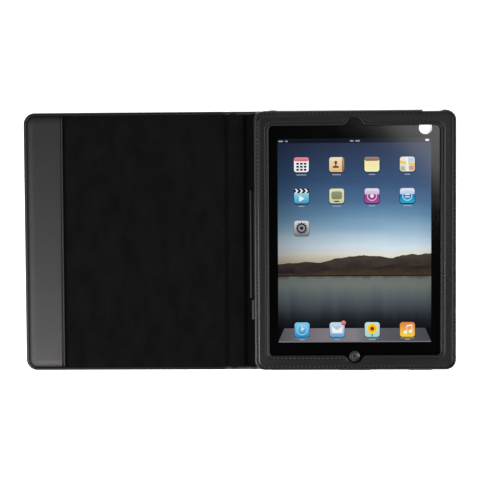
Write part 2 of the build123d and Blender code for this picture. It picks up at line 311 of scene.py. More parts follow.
outer_leather = leather("outer_leather", (0.012, 0.0117, 0.012), 0.38, grain=1.1, wear=0.3)
frame_leather = leather(
    "frame_leather", (0.0075, 0.0075, 0.0077), 0.29, grain=0.8, depth=0.000032, specular=0.38
)
band_leather = leather(
    "band_leather", (0.017, 0.0158, 0.0162), 0.36, grain=1.4, depth=0.00003, wear=0.2, folded=5.0
)
lining_suede = suede("lining_suede", (0.0031, 0.0031, 0.0034), 0.055)
thread = thread_material("thread", (0.006, 0.006, 0.0065))
# Flat black face for the sockets: painted shade in place of their depth.
painted_socket_shade = plastic("painted_socket_shade", (0.002, 0.002, 0.002), 0.8, specular=0.1)
face_black = glazed("face_black", (0.0008, 0.0008, 0.001))
shell_grey = plastic("shell_grey", (0.016, 0.016, 0.017), 0.38)
key_grey = plastic("key_grey", (0.02, 0.02, 0.022), 0.3)
key_mark = plastic("key_mark", (0.09, 0.09, 0.095), 0.35)
sleeve_white = plastic("sleeve_white", (0.8, 0.8, 0.8), 0.25)
socket_steel = plastic("socket_steel", (0.18, 0.18, 0.185), 0.28, specular=0.9)
grey_board = board_material("grey_board", (0.2, 0.19, 0.17))


# ---------------------------------------------------------------- mesh tools
class Piece:
    """Collects grids of points, in millimetres, into one mesh."""

    def __init__(self, name, *materials):
        self.name, self.materials = name, materials
        self.verts, self.faces, self.slots, self.count = [], [], [], 0

    def points(self, points):
        points = np.asarray(points, float).reshape(-1, 3)
        first = self.count
        self.verts.append(points)
        self.count += len(points)
        return first

    def grid(self, points, wrap_u=False, wrap_v=False, material=0):
        nu, nv = points.shape[:2]
        first = self.points(points)
        i = np.arange(nu if wrap_u else nu - 1)[:, None]
        j = np.arange(nv if wrap_v else nv - 1)[None, :]
        next_i, next_j = ((i + 1) % nu) * nv, (j + 1) % nv
        quads = np.stack([i * nv + j, next_i + j, next_i + next_j, i * nv + next_j], -1).reshape(-1, 4)
        self.faces += (quads + first).tolist()
        self.slots += [material] * len(quads)

    def polygon(self, points, material=0):
        first = self.points(points)
        self.faces.append(list(range(first, first + len(points))))
        self.slots.append(material)

    def sweep(self, rings, material=0):
        """A closed solid through a row of rings, flat at both ends."""
        self.grid(rings, wrap_v=True, material=material)
        self.polygon(rings[0][::-1], material)
        self.polygon(rings[-1], material)

    def lathe(self, centre, profile, material=0):
        """Turns (radius, z) pairs round a vertical axis. A closed profile makes a ring."""
        rings = [ring_points(centre, max(r, 0.001), z) for r, z in profile]
        self.grid(np.stack(rings, 0), wrap_v=True, material=material)

    def finish(self, weld=0.0005, sharp=50.0, outward=True):
        mesh = bpy.data.meshes.new(self.name)
        mesh.from_pydata((np.concatenate(self.verts) * MM).tolist(), [], self.faces)
        for material in self.materials:
            mesh.materials.append(material)
        mesh.polygons.foreach_set("material_index", self.slots)
        clean(mesh, weld * MM, outward)
        mesh.polygons.foreach_set("use_smooth", [True] * len(mesh.polygons))
        mesh.set_sharp_from_angle(angle=math.radians(sharp))
        obj = bpy.data.objects.new(self.name, mesh)
        bpy.context.scene.collection.objects.link(obj)
        return obj


def clean(mesh, weld, outward):
    """Welds points that meet, drops faces with no area and turns the rest outward."""
    work = bmesh.new()
    work.from_mesh(mesh)
    if weld:
        bmesh.ops.remove_doubles(work, verts=work.verts, dist=weld)
    bmesh.ops.dissolve_degenerate(work, dist=1e-8, edges=work.edges)
    if outward:
        bmesh.ops.recalc_face_normals(work, faces=work.faces)
    loose = [v for v in work.verts if not v.link_faces]
    bmesh.ops.delete(work, geom=loose, context="VERTS")
    work.to_mesh(mesh)
    work.free()
    mesh.update()


def cut(obj, near, far):
    """Takes the solid between two outlines out of obj."""
    cutter = Piece("cutter")
    cutter.sweep(np.stack([near, far], 0))
    cutter = cutter.finish()
    modifier = obj.modifiers.new("cut", "BOOLEAN")
    modifier.operation = "DIFFERENCE"
    modifier.solver = "EXACT"
    modifier.object = cutter
    bpy.context.view_layer.update()
    graph = bpy.context.evaluated_depsgraph_get()
    mesh = bpy.data.meshes.new_from_object(obj.evaluated_get(graph))
    obj.modifiers.clear()
    old = obj.data
    obj.data = mesh
    bpy.data.meshes.remove(old)
    mesh.name = obj.name
    mesh.set_sharp_from_angle(angle=math.radians(50))
    bpy.data.objects.remove(cutter)


def ring_points(centre, radius, z, count=64):
    a = np.arange(count) / count * math.tau
    ring = [centre[0] + radius * np.cos(a), centre[1] + radius * np.sin(a), np.full(count, z)]
    return np.stack(ring, -1)


def cut_camera_hole(obj, low, high):
    cut(obj, ring_points(CAMERA_AT, CAMERA_RADIUS, low), ring_points(CAMERA_AT, CAMERA_RADIUS, high))


def arc(cx, cy, r, start, end, count):
    a = np.radians(np.linspace(start, end, count))
    return np.stack([cx + r * np.cos(a), cy + r * np.sin(a)], -1)


def smooth(x, a, b):
    """0 before a, 1 after b, smooth between them."""
    t = np.clip((np.asarray(x, float) - a) / (b - a), 0.0, 1.0)
    return t * t * (3 - 2 * t)


def hump(x, at, width):
    """1 at a place, falling to nothing on both sides of it."""
    return np.exp(-(((x - at) / width) ** 2))


def levels(x, start, *changes):
    """A height that changes smoothly along x, by changes of (new height, from, to)."""
    height = last = start
    for level, begin, end in changes:
        height = height + (level - last) * smooth(x, begin, end)
        last = level
    return height


def spaced(start, end, step):
    count = max(int(round(abs(end - start) / step)), 1)
    return np.linspace(start, end, count + 1)


def places(start, *legs):
    """Places from start on, in legs of (end, step)."""
    runs = []
    for end, step in legs:
        runs.append(spaced(start, end, step))
        start = end
    values = np.concatenate(runs)
    return values[np.concatenate(([True], np.diff(values) > 1e-6))]


def waves(x, y, seed, scale, amount):
    """Slow unevenness, as hand-worked material has."""
    pick = random.Random(seed)
    total = 0.0
    for k in range(6):
        angle = pick.uniform(0, math.tau)
        length = scale * pick.uniform(0.6, 1.8)
        phase = pick.uniform(0, math.tau)
        along = (np.asarray(x) * math.cos(angle) + np.asarray(y) * math.sin(angle)) / length
        total = total + np.sin(math.tau * along + phase) / (1.5 + k)
    return amount * total / 1.6


# ---------------------------------------------------------------- plates with rounded corners
def corner_half(x, half, radius_left, radius_right):
    """Half the height of a plate at x."""
    h = np.full_like(x, half)
    for inside, radius in ((x - x[0], radius_left), (x[-1] - x, radius_right)):
        if radius:
            across = np.clip(radius - inside, 0, radius)
            h = np.where(inside < radius, half - radius + np.sqrt(radius**2 - across**2), h)
    return h


def edge_distance(x, y, x0, x1, half, radius_left, radius_right):
    """Distance in from the free edges of a plate. A side with radius None is open."""
    dy = half - np.abs(y)
    best = dy.copy()
    for dx, radius in ((x - x0, radius_left), (x1 - x, radius_right)):
        if radius is None:
            continue
        square = np.minimum(dx, dy)
        inside = radius - np.hypot(np.maximum(radius - dx, 0), np.maximum(radius - dy, 0))
        near = (dx < radius) & (dy < radius)
        best = np.minimum(best, np.where(near, inside, square))
    return np.maximum(best, 0)


def plate(piece, xs, half, radius_left, radius_right, near_edge, middle_step, top, bottom):
    """A closed plate whose top and bottom heights depend on the place and the distance to the edge."""
    h = corner_half(xs, half, radius_left, radius_right)
    reach = near_edge[-1]
    count = int(round(2 * (half - reach) / middle_step))
    between = np.linspace(-1, 1, count + 1)[1:-1]
    low_edge, high_edge = near_edge - h[:, None], h[:, None] - near_edge[::-1]
    ys = np.concatenate([low_edge, between * (h - reach)[:, None], high_edge], axis=1)
    gx = np.repeat(xs[:, None], ys.shape[1], 1)
    d = edge_distance(gx, ys, xs[0], xs[-1], half, radius_left, radius_right)
    low = np.stack([gx, ys, bottom(gx, ys, d)], -1)
    high = np.stack([gx, ys, top(gx, ys, d)], -1)
    piece.grid(np.concatenate([low, high[:, -2:0:-1]], axis=1), wrap_v=True)
    for end, radius in ((0, radius_left), (-1, radius_right)):
        if radius is None:
            piece.grid(np.stack([low[end], high[end]], 0))


def rolled(d, size, power=2.4):
    """0 at the edge and 1 from size inwards: the quarter section of a turned edge."""
    t = np.clip(1 - np.asarray(d) / size, 0, 1)
    return (1 - t**power) ** (1 / power)


NEAR_EDGE = places(0, (1.2, 0.15), (6.0, 0.3), (13.0, 0.7))


def finger_dip(points):
    """The top edge of the tray dips in front of the power key."""
    x, y = points[..., 0], points[..., 1]
    dip = smooth(x, power_x - 10.8, power_x - 9.4) * smooth(-x, -power_x - 11.4, -power_x - 9.0)
    moved = points.copy()
    moved[..., 1] = y - 0.8 * dip * smooth(y, 113, 124)
    return moved


# ---------------------------------------------------------------- stitches
def path_lengths(points, closed=False):
    """Length along a path at each of its points, and at last its whole length."""
    steps = (np.roll(points, -1, 0) - points) if closed else np.diff(points, axis=0)
    return np.concatenate([[0], np.cumsum(np.linalg.norm(steps, axis=1))])


def stitches(piece, points, closed=False, up=1.0, pitch=STITCH_PITCH, size=0.24):
    """Thread stitches along a path. Each one is a small arched capsule whose ends go into the leather."""
    gap, lean = 0.9, 0.28
    lengths = path_lengths(points, closed)
    loop = np.concatenate([points, points[:1]]) if closed else points
    count = max(int(round(lengths[-1] / pitch)), 1)
    step = lengths[-1] / count
    rings = np.array([0.0, 0.12, 0.3, 0.5, 0.7, 0.88, 1.0])
    radius = size * np.array([0.35, 0.8, 1.0, 1.05, 1.0, 0.8, 0.35])
    lift = size * np.array([-1.3, -0.35, 0.35, 0.5, 0.35, -0.35, -1.3])
    angles = np.arange(6) / 6 * math.tau
    for k in range(count):
        s = k * step + gap / 2 + rings * (step - gap)
        centre = np.stack([np.interp(s, lengths, loop[:, axis]) for axis in range(3)], -1)
        run = centre[-1] - centre[0]
        side = np.cross(UP, run / np.linalg.norm(run))
        centre = centre + side * ((rings - 0.5) * lean)[:, None]
        centre[:, 2] += up * lift
        across = side * np.outer(radius, np.cos(angles))[..., None]
        piece.sweep(centre[:, None, :] + across + UP * np.outer(radius, np.sin(angles))[..., None], 1)


def pucker(s, depth, pitch=STITCH_PITCH):
    """Depth of the needle holes along a seam."""
    return depth * np.abs(np.cos(math.pi * np.asarray(s) / pitch)) ** 10


# ---------------------------------------------------------------- outer leather
def rim_height(x):
    """Top of the turned edge: cover, fold, spine, fold, tray."""
    return levels(
        x,
        cover_hi[2],
        (1.5, fold_cover_x - 4.2, fold_cover_x - 1.6),
        (spine_hi[2], fold_cover_x + 1.6, fold_cover_x + 3.4),
        (1.5, fold_tray_x - 3.4, fold_tray_x - 1.6),
        (2.6, fold_tray_x + 1.6, fold_tray_x + 3.4),
    )


def skin_top(x, y, d):
    rim = rim_height(x)
    z = rim * 0.5 + rim * 0.5 * rolled(d, 1.1, 3.0)
    return z + (0.9 - z) * smooth(d, RIM_WIDTH - 0.35, RIM_WIDTH + 0.55)


def skin_bottom(x, y, d):
    z = rim_height(x) * 0.5 * (1 - rolled(d, 1.5))
    groove = 0.22 * hump(d, 3.1, 0.55)
    fold = hump(x, fold_cover_x, 1.1) + hump(x, fold_tray_x, 1.1)
    return z + groove * smooth(d, 1.0, 2.0) + 0.25 * fold


def edge_path(outer, inner, radius, side):
    """Path of the edge stitches round three sides of a leather half. side -1 rounds the left, 1 the right."""
    inset, step = 3.1, 0.8
    r, cx, cy = radius - inset, outer - side * radius, half_height - radius
    run = spaced(inner, cx, step)
    turn = np.linspace(0, math.pi / 2, 14)[1:]
    points = [(x, half_height - inset) for x in run]
    points += [(cx + side * r * math.sin(a), cy + r * math.cos(a)) for a in turn]
    points += [(outer - side * inset, y) for y in spaced(cy, -cy, step)[1:]]
    points += [(cx + side * r * math.cos(a), -cy - r * math.sin(a)) for a in turn]
    points += [(x, -half_height + inset) for x in run[::-1][1:]]
    return np.array([(*p, 0.30) for p in points])


def leather_half(name, columns, left, right):
    """The outer leather up to the middle of the spine. The open side has no corner radius."""
    piece = Piece(name, outer_leather, thread)
    plate(piece, columns, half_height, left, right, NEAR_EDGE, 6.0, skin_top, skin_bottom)
    if left:
        path = edge_path(columns[0], spine_mid_x, left, -1)
    else:
        path = edge_path(columns[-1], spine_mid_x, right, 1)
    stitches(piece, path, up=-0.6)
    piece.verts = [finger_dip(v) for v in piece.verts]
    return piece.finish()


cover_left, back_right = cover_lo[0], back_hi[0]
cover_columns = places(
    cover_left,
    (cover_left + 1.2, 0.15),
    (cover_left + 6.0, 0.3),
    (cover_left + 13.0, 0.7),
    (-20.0, 6.0),
    (spine_mid_x, 0.45),
)
back_columns = places(
    spine_mid_x,
    (18.0, 0.45),
    (back_right - 13.0, 6.0),
    (back_right - 6.0, 0.7),
    (back_right - 1.2, 0.3),
    (back_right, 0.15),
)
cover_leather = leather_half("cover_outer_leather", cover_columns, COVER_CORNER, None)
back_leather = leather_half("back_outer_leather", back_columns, None, TRAY_CORNER)
cut_camera_hole(back_leather, -5, 5)

# a rolled leather lip round the camera hole
lip = Piece("camera_hole_lip", outer_leather)
lip_turn = np.linspace(0, math.tau, 17)
lip.lathe(CAMERA_AT, [(CAMERA_RADIUS + 0.95 - 0.9 * math.cos(a), 0.95 - 0.9 * math.sin(a)) for a in lip_turn])
lip = lip.finish()


# ---------------------------------------------------------------- lining
def lining_base(x):
    """Height of the lining over cover, folds, spine and the margin of the tray."""
    return levels(
        x,
        3.2 - 0.45 * hump(x, band_hi[0], 3.0),
        (1.3, fold_cover_x - 3.4, fold_cover_x - 0.2),
        (2.3, fold_cover_x + 0.6, fold_cover_x + 3.6),
        (1.1, fold_tray_x - 3.2, fold_tray_x - 0.3),
        (2.42, fold_tray_x + 0.3, fold_tray_x + 2.4),
    )


def lining_floor(x):
    """Underside of the lining, just clear of the boards."""
    return levels(
        x,
        2.32,
        (0.93, fold_cover_x - 2.9, fold_cover_x - 2.3),
        (1.82, fold_cover_x + 2.3, fold_cover_x + 2.6),
        (0.93, fold_tray_x - 2.6, fold_tray_x - 2.3),
        (2.22, fold_tray_x + 2.2, fold_tray_x + 2.5),
    )


def lining_top(x, y, d):
    base, floor = lining_base(x), lining_floor(x)
    padded = smooth(-x, -fold_cover_x + 3.0, -fold_cover_x + 14.0)
    slope = 1 - np.exp(-d / (1.0 + 3.6 * padded))
    crown = padded * (0.12 * smooth(d, 0, 50) + waves(x, y, 3, 70, 0.05))
    edge = floor + 0.16 * rolled(d, 0.5)
    return np.maximum(edge + (base + crown - edge) * slope, floor + 1e-4 * (d > 0))


def lining_bottom(x, y, d):
    return np.where(d <= 1e-9, lining_top(x, y, d), lining_floor(x))


LINING_HALF = half_height - 1.9


def suede_strip(name, columns):
    piece = Piece(name, lining_suede)
    plate(piece, columns, LINING_HALF, None, None, NEAR_EDGE, 5.0, lining_top, lining_bottom)
    return piece.finish()


lining_columns = places(band_hi[0] - 3.0, (band_hi[0] + 6.0, 1.0), (-26.0, 5.0), (spine_mid_x, 0.45))
spine_columns = spaced(spine_mid_x, bay_lo[0] - 0.1, 0.45)
cover_pad = suede_strip("cover_suede_lining", lining_columns)
spine_pad = suede_strip("spine_suede_lining", spine_columns)


def mark_painted_shade_and_polish(obj, amount):
    """Stores at each point how much painted shade it gets, dark and dull, up to 1; below 0 it stores how far
    the surface is rubbed bright.
    """
    painted_shade_and_polish = obj.data.attributes.new("painted_shade_and_polish", "FLOAT", "POINT")
    at = np.array([v.co for v in obj.data.vertices]) / MM
    painted_shade_and_polish.data.foreach_set("value", np.clip(amount(at[:, 0], at[:, 1], at[:, 2]), -1.6, 1))


def lining_painted_shade(x, y, z):
    """Painted shade in the folds and in the corner beside the leather band."""
    return 0.55 * hump(x, fold_cover_x, 2.0) + hump(x, fold_tray_x, 2.2) + hump(x, band_hi[0], 2.8)


def rim_painted_shade(x, y, z):
    """Painted shade: the turned edge is painted darker and duller along the top and bottom of the case, on
    its inner side.
    """
    along_edge = smooth(np.abs(y), half_height - 3.4, half_height - 2.6)
    return 0.75 * along_edge * smooth(z, 1.2, 2.0) * (x < fold_tray_x)


mark_painted_shade_and_polish(cover_leather, rim_painted_shade)
mark_painted_shade_and_polish(cover_pad, lining_painted_shade)
mark_painted_shade_and_polish(spine_pad, lining_painted_shade)

# ---------------------------------------------------------------- leather band on the free edge
band_left, band_right, band_half = band_lo[0], band_hi[0], band_hi[1]
BAND_CORNER = COVER_CORNER - RIM_WIDTH
BAND_SEAM = 2.1


def band_top(x, y, d):
    from_lip = band_right - x
    body = band_hi[2] - 0.05 + waves(x, y, 11, 60, 0.06) - 0.95 * (1 - smooth(d, -2.0, 7.5))
    body = body - 0.8 * hump(from_lip, BAND_SEAM, 0.55)
    body = body - pucker(y, 0.16) * hump(from_lip, BAND_SEAM, 0.45)
    body = body + 0.1 * hump(from_lip, 0.9, 0.6)
    turned = np.minimum(rolled(d, 0.6), rolled(from_lip, 0.9))
    return BAND_BOTTOM + (body - BAND_BOTTOM) * turned


def band_bottom(x, y, d):
    return np.full_like(d, BAND_BOTTOM)


band_columns = places(
    band_left, (band_left + 1.2, 0.15), (band_left + 9.0, 0.5), (band_right - 4.0, 1.5), (band_right, 0.2)
)
band_rows = places(0, (1.2, 0.15), (8.0, 0.5))
band = Piece("cover_edge_band", band_leather, thread)
plate(band, band_columns, band_half, BAND_CORNER, None, band_rows, 0.5, band_top, band_bottom)
seam_y = spaced(-band_half + 1.5, band_half - 1.5, 1.0)
stitches(band, np.array([(band_right - BAND_SEAM, y, band_hi[2] - 0.62) for y in seam_y]))
band = band.finish()


def band_painted_shade(x, y, z):
    """Painted shade on the band along the rim and in its seam."""
    edge = edge_distance(x, y, band_left, band_right, band_half, BAND_CORNER, None)
    return hump(edge, 0, 2.2) + 0.6 * hump(x, band_right - BAND_SEAM, 0.7)


mark_painted_shade_and_polish(band, band_painted_shade)


# ---------------------------------------------------------------- front frame of the tray
def notch_depth(u, radius, centre, shoulder=5.0):
    """How far the window reaches into the frame at u from the middle of a notch."""
    u = np.abs(u)
    half = math.sqrt((radius + shoulder) ** 2 - (shoulder - centre) ** 2)
    meet = half * radius / (radius + shoulder)
    bowl = centre + np.sqrt(np.maximum(radius**2 - u**2, 0))
    side = shoulder - np.sqrt(np.maximum(shoulder**2 - np.maximum(half - u, 0) ** 2, 0))
    return np.where(u < meet, bowl, np.where(u < half, side, 0.0))


def loop_parts(x0, y0, x1, y1, r, across, down):
    """Sides and corners of a round-cornered loop in turn, counterclockwise from the bottom left."""
    centres = [(x1 - r, y0 + r), (x1 - r, y1 - r), (x0 + r, y1 - r), (x0 + r, y0 + r)]
    corners = [arc(cx, cy, r, 90 * k - 90, 90 * k, 22) for k, (cx, cy) in enumerate(centres)]
    parts = []
    for k, corner in enumerate(corners):
        side = np.linspace(corners[k - 1][-1], corner[0], down if k % 2 else across)
        parts += [side[:-1], corner[:-1]]
    return parts


def frame_loops(step=0.5):
    """Outer edge and window edge of the frame, point for point."""
    half_x, half_y = WINDOW_HALF
    counts = [int(round(2 * half / step)) for half in WINDOW_HALF]
    outer = loop_parts(*frame_lo[:2], *frame_hi[:2], TRAY_CORNER, *counts)
    inner = loop_parts(window_x - half_x, -half_y, window_x + half_x, half_y, WINDOW_CORNER, *counts)
    inner[0][:, 1] -= notch_depth(inner[0][:, 0] - window_x, 7.6, -0.2)
    inner[4][:, 1] += notch_depth(inner[4][:, 0] - window_x, 8.5, -1.4)
    return finger_dip(np.concatenate(outer)), np.concatenate(inner)


def loop_normals(loop):
    """Unit normals out of a counterclockwise loop."""
    t = np.roll(loop, -1, 0) - np.roll(loop, 1, 0)
    t /= np.linalg.norm(t, axis=1, keepdims=True)
    return np.stack([t[:, 1], -t[:, 0]], -1)


outer_loop, inner_loop = frame_loops()
outer_in, inner_out = -loop_normals(outer_loop), loop_normals(inner_loop)
band_width = np.linalg.norm(outer_loop - inner_loop, axis=1)
outer_s, inner_s = path_lengths(outer_loop, True), path_lengths(inner_loop, True)
outer_pitch, inner_pitch = (s[-1] / round(s[-1] / STITCH_PITCH) for s in (outer_s, inner_s))

# section of the frame: distance in from the outer edge, height
OUTER_SECTION = [
    (4.2, 13.02), (0.9, 13.02), (0.35, 13.08), (0.08, 13.3), (0.0, 13.65), (0.03, 14.0), (0.14, 14.3),
    (0.32, 14.54), (0.7, 14.8), (1.05, 14.98), (1.35, 15.03), (1.65, 14.93), (1.9, 14.64), (2.1, 14.28),
    (2.35, 14.05), (2.6, 14.1), (2.9, 14.32), (3.3, 14.6), (3.7, 14.84), (4.1, 14.99), (4.5, 15.02),
    (4.9, 14.92), (5.3, 14.78),
]
# distance out from the window's edge, height
INNER_SECTION = [
    (5.9, 14.7), (5.3, 14.71), (4.9, 14.72), (4.5, 14.72), (4.15, 14.68), (3.85, 14.58), (3.6, 14.4),
    (3.35, 14.18), (3.1, 14.05), (2.9, 14.1), (2.72, 14.36), (2.5, 14.62), (2.2, 14.78), (1.8, 14.87),
    (1.35, 14.88), (0.95, 14.8), (0.55, 14.6), (0.25, 14.3), (0.05, 13.95), (0.0, 13.5), (0.15, 13.15),
    (0.5, 13.02), (2.8, 13.02),
]
# share of the way from the outer rows to the inner ones, height
MIDDLE_SECTION = [(0.2, 14.66), (0.4, 14.64), (0.6, 14.64), (0.8, 14.66)]
OUTER_SEAM, INNER_SEAM, SEAM_Z = 2.35, 3.1, 14.24

squeeze = np.clip((band_width - 5.0) / 5.4, 0.25, 1.0)
kernel = np.hanning(15) / np.hanning(15).sum()
squeeze = np.convolve(np.concatenate([squeeze[-7:], squeeze, squeeze[:7]]), kernel, "valid")
# the welt is wider on the hinge side, and the far side has a ridge beside the window's seam
welt_shift = 0.45 * outer_in[:, 0]
far_side = np.clip(inner_out[:, 0], 0, 1)
inner_scale = squeeze * (1 - 0.2 * far_side)


def outer_row(d):
    return outer_loop + outer_in * (d + welt_shift * smooth(d, 1.2, 2.6))[:, None]


def inner_row(e):
    return inner_loop + inner_out * (e * inner_scale)[:, None]


def frame_waves(p):
    return waves(p[:, 0], p[:, 1], 5, 26, 0.05)


def raised_row(p, z, in_seam, s, pitch, wavy_above):
    """One line round the frame, with slow waves on its face and puckers at its seam."""
    height = z + (frame_waves(p) if z > wavy_above else 0)
    height = height - pucker(s[:-1], 0.4, pitch) * in_seam * (z > 14.0)
    return np.c_[p, height]


outer_rows, inner_rows, middle_rows = [], [], []
for d, z in OUTER_SECTION:
    outer_rows.append(raised_row(outer_row(d), z, hump(d, OUTER_SEAM, 0.6), outer_s, outer_pitch, 14.2))
for e, z in INNER_SECTION:
    row = raised_row(inner_row(e), z, hump(e, INNER_SEAM, 0.6), inner_s, inner_pitch, 14.0)
    row[:, 2] += 0.35 * far_side * hump(e, 4.5, 0.75) * (z > 14.0)
    inner_rows.append(row)
for t, z in MIDDLE_SECTION:
    row = outer_rows[-1] * (1 - t) + inner_rows[0] * t
    puff = 0.10 * math.sin(math.pi * t) * np.clip((band_width - 9) / 5, 0, 1)
    row[:, 2] = z + puff + frame_waves(row)
    middle_rows.append(row)
tray_frame = Piece("tray_front_frame", frame_leather, thread)
tray_frame.grid(np.stack(outer_rows + middle_rows + inner_rows, 1), wrap_u=True, wrap_v=True)
for seam, pitch in ((outer_row(OUTER_SEAM), outer_pitch), (inner_row(INNER_SEAM), inner_pitch)):
    stitches(tray_frame, np.c_[seam, np.full(len(seam), SEAM_Z)], closed=True, size=0.22, pitch=pitch)
tray_frame = tray_frame.finish(sharp=70)


def frame_rubbing(x, y, z):
    """The welts on the hinge side are rubbed bright by the cover, most of all low down."""
    inward = x - frame_lo[0]
    welts = hump(inward, 1.0, 0.5) + hump(inward, 3.95, 0.6)
    return -1.5 * welts * smooth(z, 14.2, 14.6) * (1 - 0.75 * smooth(y, 10, 60))


mark_painted_shade_and_polish(tray_frame, frame_rubbing)


# ---------------------------------------------------------------- side walls of the tray
def wall_paths(step=1.5):
    """Outside and bay side of the wall, point for point, from the bottom left round to the top left."""
    outer_x, bay_x = wall_right_hi[0], wall_right_lo[0]
    half, bay_half = wall_top_hi[1], 121.3
    ro, ri = TRAY_CORNER, BAY_CORNER
    along = places(wall_bottom_lo[0], (36.0, 0.6), (outer_x - ro, step))
    side = spaced(-(half - ro), half - ro, step)

    def stepped(from_x):
        """The wall is thinner beside the mouth."""
        return half - 1.35 * (1 - smooth(along, from_x - 0.8, from_x + 0.8))

    def loop(x, side_x, low, high, side_y, cx, cy, r):
        parts = [np.stack([x, -low], -1)[:-1], arc(cx, -cy, r, -90, 0, 20)[:-1]]
        parts += [np.stack([np.full_like(side_y, side_x), side_y], -1)[:-1], arc(cx, cy, r, 0, 90, 20)[:-1]]
        parts.append(np.stack([x, high], -1)[::-1])
        return np.concatenate(parts)

    t = (along - along[0]) / (along[-1] - along[0])
    bay_along = along[0] + t * (bay_x - ri - along[0])
    flat_bay = np.full_like(along, bay_half)
    outer = loop(along, outer_x, stepped(31.0), stepped(24.0), side, outer_x - ro, half - ro, ro)
    bay_side = side * (bay_half - ri) / (half - ro)
    inner = loop(bay_along, bay_x, flat_bay, flat_bay, bay_side, bay_x - ri, bay_half - ri, ri)
    return finger_dip(outer), inner


# height, and how far the outside stands in from its widest line
WALL_SECTION = [
    (2.25, 1.15), (2.5, 0.75), (3.2, 0.38), (4.4, 0.12), (6.0, 0.0), (9.0, 0.0), (10.6, 0.1),
    (11.7, 0.35), (12.5, 0.8), (13.0, 1.5),
]
wall_outer, wall_inner = wall_paths()
tangent = np.gradient(wall_outer, axis=0)
tangent /= np.linalg.norm(tangent, axis=1, keepdims=True)
wall_in = np.stack([-tangent[:, 1], tangent[:, 0]], -1)
turned = 1.1 * (1 - rolled(wall_outer[:, :1] - wall_outer[0, 0], 1.4))
wall_rows = []
for z, inset in WALL_SECTION:
    ripple = waves(np.arange(1, len(wall_outer) + 1) * 1.5, z * 4, 21, 30, 0.05) * (3 < z < 12)
    p = wall_outer + wall_in * (inset + turned + ripple[:, None])
    wall_rows.append(np.c_[p, np.full(len(p), z)])
for z in (13.0, 10.0, 6.0, 2.25):
    wall_rows.append(np.c_[wall_inner, np.full(len(wall_inner), z)])
walls = Piece("tray_side_walls", frame_leather)
walls.sweep(np.stack(wall_rows, 1))
walls = walls.finish(sharp=60)


def rounded_rectangle(width, height, radius, count=8):
    w, h, r = width / 2, height / 2, radius
    corners = [(w - r, h - r, 0), (-w + r, h - r, 90), (-w + r, -h + r, 180), (w - r, -h + r, 270)]
    return np.concatenate([arc(cx, cy, r, a, a + 90, count) for cx, cy, a in corners])


def on_wall(shape, origin, along, out_by):
    """Puts a flat shape on a wall: its first direction runs along, its second up."""
    flat_on = shape[:, :1] * np.asarray(along) + shape[:, 1:] * UP
    return np.asarray(origin) + flat_on + np.cross(along, UP) * out_by


def tube(piece, path, across, closed=True):
    """A thin round tube along a flat path, with across square to the path's plane."""
    radius, angles = 0.5, np.arange(8) / 8 * math.tau
    ahead = np.roll(path, -1, 0) - np.roll(path, 1, 0) if closed else np.gradient(path, axis=0)
    ahead /= np.linalg.norm(ahead, axis=1, keepdims=True)
    side = np.cross(ahead, across)
    side /= np.linalg.norm(side, axis=1, keepdims=True)
    other = np.cross(side, ahead)
    round_it = np.cos(angles)[:, None] * side[:, None] + np.sin(angles)[:, None] * other[:, None]
    rings = path[:, None] + radius * round_it
    if closed:
        piece.grid(rings, wrap_u=True, wrap_v=True)
    else:
        piece.sweep(rings)


wall_y, wall_x = wall_top_hi[1], wall_right_hi[0]
LEFT, RIGHT, UPWARD = (-1.0, 0, 0), (1.0, 0, 0), (0, 1.0, 0)
CUT_OUTS = [
    # width, height, corner, centre on the wall's outside, direction along the wall
    (8.6, 8.6, 4.29, (HEADPHONE_X, wall_y, KEY_Z), LEFT),
    (30.0, 6.6, 1.6, (window_x, -wall_y, KEY_Z), RIGHT),
    (24.0, 6.6, 3.2, (SPEAKER_X, -wall_y, KEY_Z), RIGHT),
    (42.0, 6.0, 2.5, (wall_x, SIDE_KEYS_Y, KEY_Z), UPWARD),
]
bindings = Piece("cut_out_bindings", frame_leather)


def cut_and_bind(shape, edge, centre, along, closed):
    """Cuts a shape right through the wall and binds its edge, a little inside the wall's face."""
    cut(walls, on_wall(shape, centre, along, 6), on_wall(shape, centre, along, -12))
    path = on_wall(edge, centre, along, -0.36)
    distinct = np.linalg.norm(path - np.roll(path, 1, 0), axis=1) > 0.05
    tube(bindings, path[distinct], np.cross(along, UP), closed)


for width, height, corner, centre, along in CUT_OUTS:
    edge = rounded_rectangle(width + 0.5, height + 0.5, corner + 0.25)
    cut_and_bind(rounded_rectangle(width, height, corner), edge, centre, along, True)
notch = np.array([(-10.3, 9.0), (-10.3, -2.4), (-9.3, -3.4), (9.3, -3.4), (10.3, -2.4), (10.3, 9.0)])
side_heights = [4.6, 3.0, 1.0, -1.0, -2.2]
notch_edge = np.concatenate(
    [
        [(-10.5, h) for h in side_heights],
        arc(-9.2, -2.3, 1.3, 180, 270, 6),
        [(w, -3.6) for w in np.linspace(-8.5, 8.5, 9)],
        arc(9.2, -2.3, 1.3, 270, 360, 6),
        [(10.5, h) for h in side_heights[::-1]],
    ]
)
cut_and_bind(notch, notch_edge, (power_x, wall_y, KEY_Z), LEFT, False)
bindings.verts = [finger_dip(v) for v in bindings.verts]
bindings = bindings.finish()


# ---------------------------------------------------------------- small leather pieces of the tray
def strip(name, ys, section_at):
    """A strip along Y, through the (x, z) sections that section_at gives."""
    piece = Piece(name, frame_leather)
    rings = []
    for y in ys:
        section = section_at(y, min(y - ys[0], ys[-1] - y))
        rings.append(np.c_[section[:, 0], np.full(len(section), y), section[:, 1]])
    piece.sweep(np.stack(rings, 0))
    return piece.finish(sharp=60)


